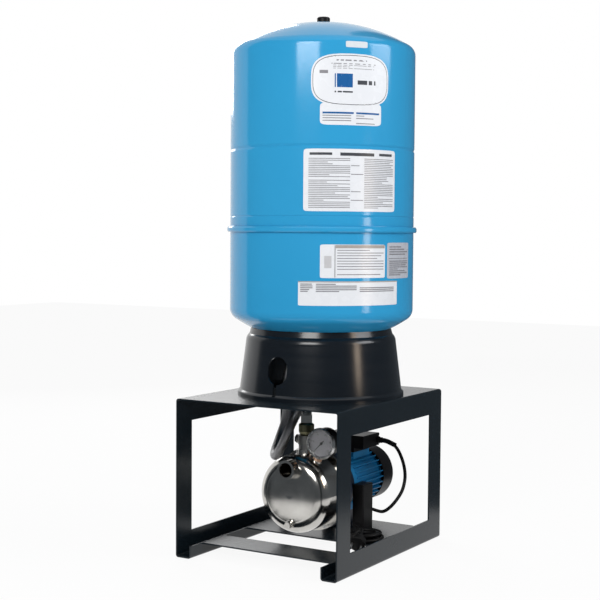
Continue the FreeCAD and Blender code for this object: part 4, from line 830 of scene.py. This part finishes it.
# Sides are in degrees round the tank and rise in metres. A bar is from, to, low, high in parts of
# the label's width and height, then its ink. A block is the same four, then the pitch of its lines
# and their thickness in metres.
labels = {
    "badge": {
        "sides": (-66.7, -17.6), "rise": (0.9275, 1.0315), "square": 3.2,
        "shade": "white", "rim": "black",
        "bars": [
            (0.30, 0.68, 0.86, 0.885, "grey"), (0.24, 0.80, 0.80, 0.815, "grey"),
            (0.28, 0.50, 0.36, 0.62, "blue"), (0.56, 0.80, 0.42, 0.50, "black"),
            (0.28, 0.50, 0.26, 0.29, "black"), (0.10, 0.20, 0.62, 0.68, "grey"),
        ],
        "blocks": [(0.26, 0.78, 0.71, 0.78, 0.0030, 0.0010)],
    },
    "footer": {
        "sides": (-61.4, -23.0), "rise": (0.8905, 0.935), "square": 9, "shade": "white",
        "bars": [(0.04, 0.52, 0.50, 0.58, "blue"), (0.56, 0.96, 0.50, 0.58, "blue")],
        "blocks": [
            (0.04, 0.48, 0.12, 0.44, 0.0050, 0.0016), (0.56, 0.88, 0.06, 0.44, 0.0050, 0.0016),
        ],
    },
    "top": {
        "sides": (-46.5, -32.9), "rise": (1.0440, 1.0565), "square": 9, "shade": "pale",
        "bars": [],
        "blocks": [],
    },
    "main": {
        "sides": (-70.8, -11.0), "rise": (0.7195, 0.8435), "square": 30, "shade": "white",
        "bars": [
            (0.06, 0.28, 0.90, 0.94, "black"), (0.36, 0.72, 0.89, 0.94, "black"),
            (0.78, 0.95, 0.90, 0.94, "black"),
        ],
        "blocks": [
            (0.05, 0.46, 0.05, 0.85, 0.0036, 0.0013), (0.61, 0.97, 0.05, 0.85, 0.0036, 0.0013),
            (0.47, 0.60, 0.14, 0.74, 0.0172, 0.0014),
        ],
    },
    "panel": {
        "sides": (-60.7, -18.7), "rise": (0.5865, 0.6535), "square": 30, "shade": "white",
        "bars": [
            (0.22, 0.99, 0.89, 0.985, "brown"), (0.205, 0.215, 0.02, 0.98, "grey"),
            (0.06, 0.16, 0.30, 0.66, "light"),
        ],
        "blocks": [(0.24, 0.97, 0.08, 0.84, 0.0054, 0.0015)],
    },
    "plate": {
        "sides": (-17.0, 7.0), "rise": (0.5845, 0.6575), "square": 20, "shade": "silver",
        "bars": [(0.06, 0.94, 0.55, 0.57, "grey")],
        "blocks": [
            (0.08, 0.92, 0.08, 0.50, 0.0040, 0.0022), (0.08, 0.92, 0.62, 0.90, 0.0050, 0.0026),
        ],
    },
    "wide": {
        "sides": (-73.5, -7.6), "rise": (0.5310, 0.5800), "square": 40, "shade": "white",
        "bars": [(0.0, 1.0, 0.955, 0.995, "brown")],
        "blocks": [
            (0.02, 0.13, 0.54, 0.90, 0.0036, 0.0019), (0.16, 0.53, 0.54, 0.90, 0.0036, 0.0019),
            (0.56, 0.95, 0.54, 0.90, 0.0036, 0.0019), (0.02, 0.80, 0.20, 0.26, 0.0100, 0.0030),
        ],
    },
}


def tankPoint(angle, height, lift):
    over = max(height - tank["tangent"], 0.0)
    inward = tank["knuckle"] - math.sqrt(tank["knuckle"] ** 2 - over ** 2)
    return roundTank(angle, tank["radius"] - inward + lift, height)


def addRows(drawn, rows, lift, columns, ink):
    # rows of points from low to high, each between two angles, joined into a curved patch
    vertices, faces, tints = drawn
    made = gridFaces(len(vertices), len(rows), columns)
    faces += made
    tints += [inks[ink]] * len(made)
    for left, right, height in rows:
        for column in range(columns + 1):
            vertices.append(tankPoint(left + (right - left) * column / columns, height, lift))


def sheetRows(label, inset=0.0):
    # the label's outline: a rounded rectangle, the rounder the lower its square value
    (left, right), (low, high), square = label["sides"], label["rise"], label["square"]
    middle = (left + right) / 2
    half = (right - left) / 2 - math.degrees(inset / tank["radius"])
    level = (low + high) / 2
    tall = (high - low) / 2 - inset
    rows = []
    for step in range(-sheet["rows"], sheet["rows"] + 1):
        part = math.sin(math.pi / 2 * step / sheet["rows"])
        width = half * (1 - min(abs(part), sheet["tip"]) ** square) ** (1 / square)
        rows.append((middle - width, middle + width, level + tall * part))
    return rows


def printedBar(drawn, label, left, right, low, high, ink):
    sides, rise = label["sides"], label["rise"]
    angles = [sides[0] + (sides[1] - sides[0]) * part for part in (left, right)]
    heights = [rise[0] + (rise[1] - rise[0]) * part for part in (low, high)]
    columns = max(1, math.ceil((angles[1] - angles[0]) / sheet["barColumn"]))
    addRows(drawn, [(*angles, height) for height in heights], sheet["printLift"], columns, ink)


def printedBlock(drawn, label, block, chance):
    left, right, low, high, pitch, thick = block
    tall = label["rise"][1] - label["rise"][0]
    level = high
    while level - thick / tall > low:
        whole = chance.random() < sheet["wholeLine"]
        end = left + (right - left) * (1.0 if whole else chance.uniform(*sheet["partLine"]))
        if chance.random() < sheet["anyLine"]:
            printedBar(drawn, label, left, end, level - thick / tall, level, "grey")
        level -= pitch / tall


def tintedPiece(name, drawn, finish):
    # a piece whose colours lie in its mesh
    vertices, faces, tints = drawn
    piece = meshPiece(name, vertices, faces, finish)
    layer = piece.data.color_attributes.new("tint", "FLOAT_COLOR", "CORNER")
    corner = 0
    for face, tint in zip(faces, tints):
        for _ in face:
            layer.data[corner].color = rgb(*tint)
            corner += 1
    return piece


def printedSheet():
    finish = newFinish("label_print")
    crease = noise(finish, objectPlace(finish), *printLook["crease"])
    finish.set(
        base_color=finish.add("VertexColor", {"layer_name": "tint"}),
        roughness=crease * printLook["duller"] + printLook["roughness"],
        specular_ior_level=printLook["specular_ior_level"],
        normal=bump(finish, crease, printLook["depth"]),
    )
    return finish.owner


def makeLabels():
    drawn = ([], [], [])
    chance = random.Random(sheet["seed"])
    for label in labels.values():
        lift, columns = sheet["lift"], sheet["columns"]
        addRows(drawn, sheetRows(label), lift, columns, label["shade"])
        if "rim" in label:
            for inset, ink in zip(sheet["rimInset"], (label["rim"], label["shade"])):
                lift += sheet["rimLift"]
                addRows(drawn, sheetRows(label, inset), lift, columns, ink)
        for bar in label["bars"]:
            printedBar(drawn, label, *bar)
        for block in label["blocks"]:
            printedBlock(drawn, label, block, chance)
    piece = tintedPiece("tank_labels", drawn, printedSheet())
    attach(piece, "root")


dial = {
    "x": 0.0624,
    "y": -0.0702,
    "z": 0.239,
    "radius": 0.0272,
    "from": 225,
    "sweep": 270,
    "steps": 50,
    # every so many steps a mark, then its length and width
    "marks": ((10, 0.0036, 0.0004), (5, 0.0026, 0.00022), (1, 0.0016, 0.00022)),
    "numbers": 5,
    "numberStep": 20,
    "numbersIn": 0.0068,
    "tall": 0.0046,
}


def dialPoint(angle, radius):
    turn = math.radians(angle)
    x = dial["x"] + radius * math.cos(turn)
    return fromStand(x, dial["y"], dial["z"] + radius * math.sin(turn))


def makeDialMarks():
    vertices = []
    faces = []
    for step in range(dial["steps"] + 1):
        angle = dial["from"] - dial["sweep"] * step / dial["steps"]
        length, width = next(mark[1:] for mark in dial["marks"] if step % mark[0] == 0)
        half = math.degrees(width / dial["radius"])
        faces += gridFaces(len(vertices), 2, 1)
        for radius in (dial["radius"] - length, dial["radius"]):
            vertices += [dialPoint(angle + half, radius), dialPoint(angle - half, radius)]
    marks = meshPiece("dial_marks", vertices, faces, finishes["gauge_case"])
    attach(marks, "root")


def makeDialNumbers():
    for number in range(dial["numbers"] + 1):
        angle = dial["from"] - dial["sweep"] * number / dial["numbers"]
        place = dialPoint(angle, dial["radius"] - dial["numbersIn"])
        bpy.ops.object.text_add(location=place, rotation=(math.pi / 2, 0, 0))
        digits = bpy.context.object
        digits.name = f"dial_number_{number}"
        digits.data.body = str(dial["numberStep"] * number)
        digits.data.size = dial["tall"]
        digits.data.align_x = "CENTER"
        digits.data.align_y = "CENTER"
        bpy.ops.object.convert(target="MESH")
        bpy.ops.object.transform_apply(location=True, rotation=True, scale=True)
        digits = bpy.context.object
        digits.data.materials.clear()
        digits.data.materials.append(finishes["gauge_case"])
        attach(digits, "root")
        deselect()


makeLabels()
deselect()
makeDialMarks()
makeDialNumbers()
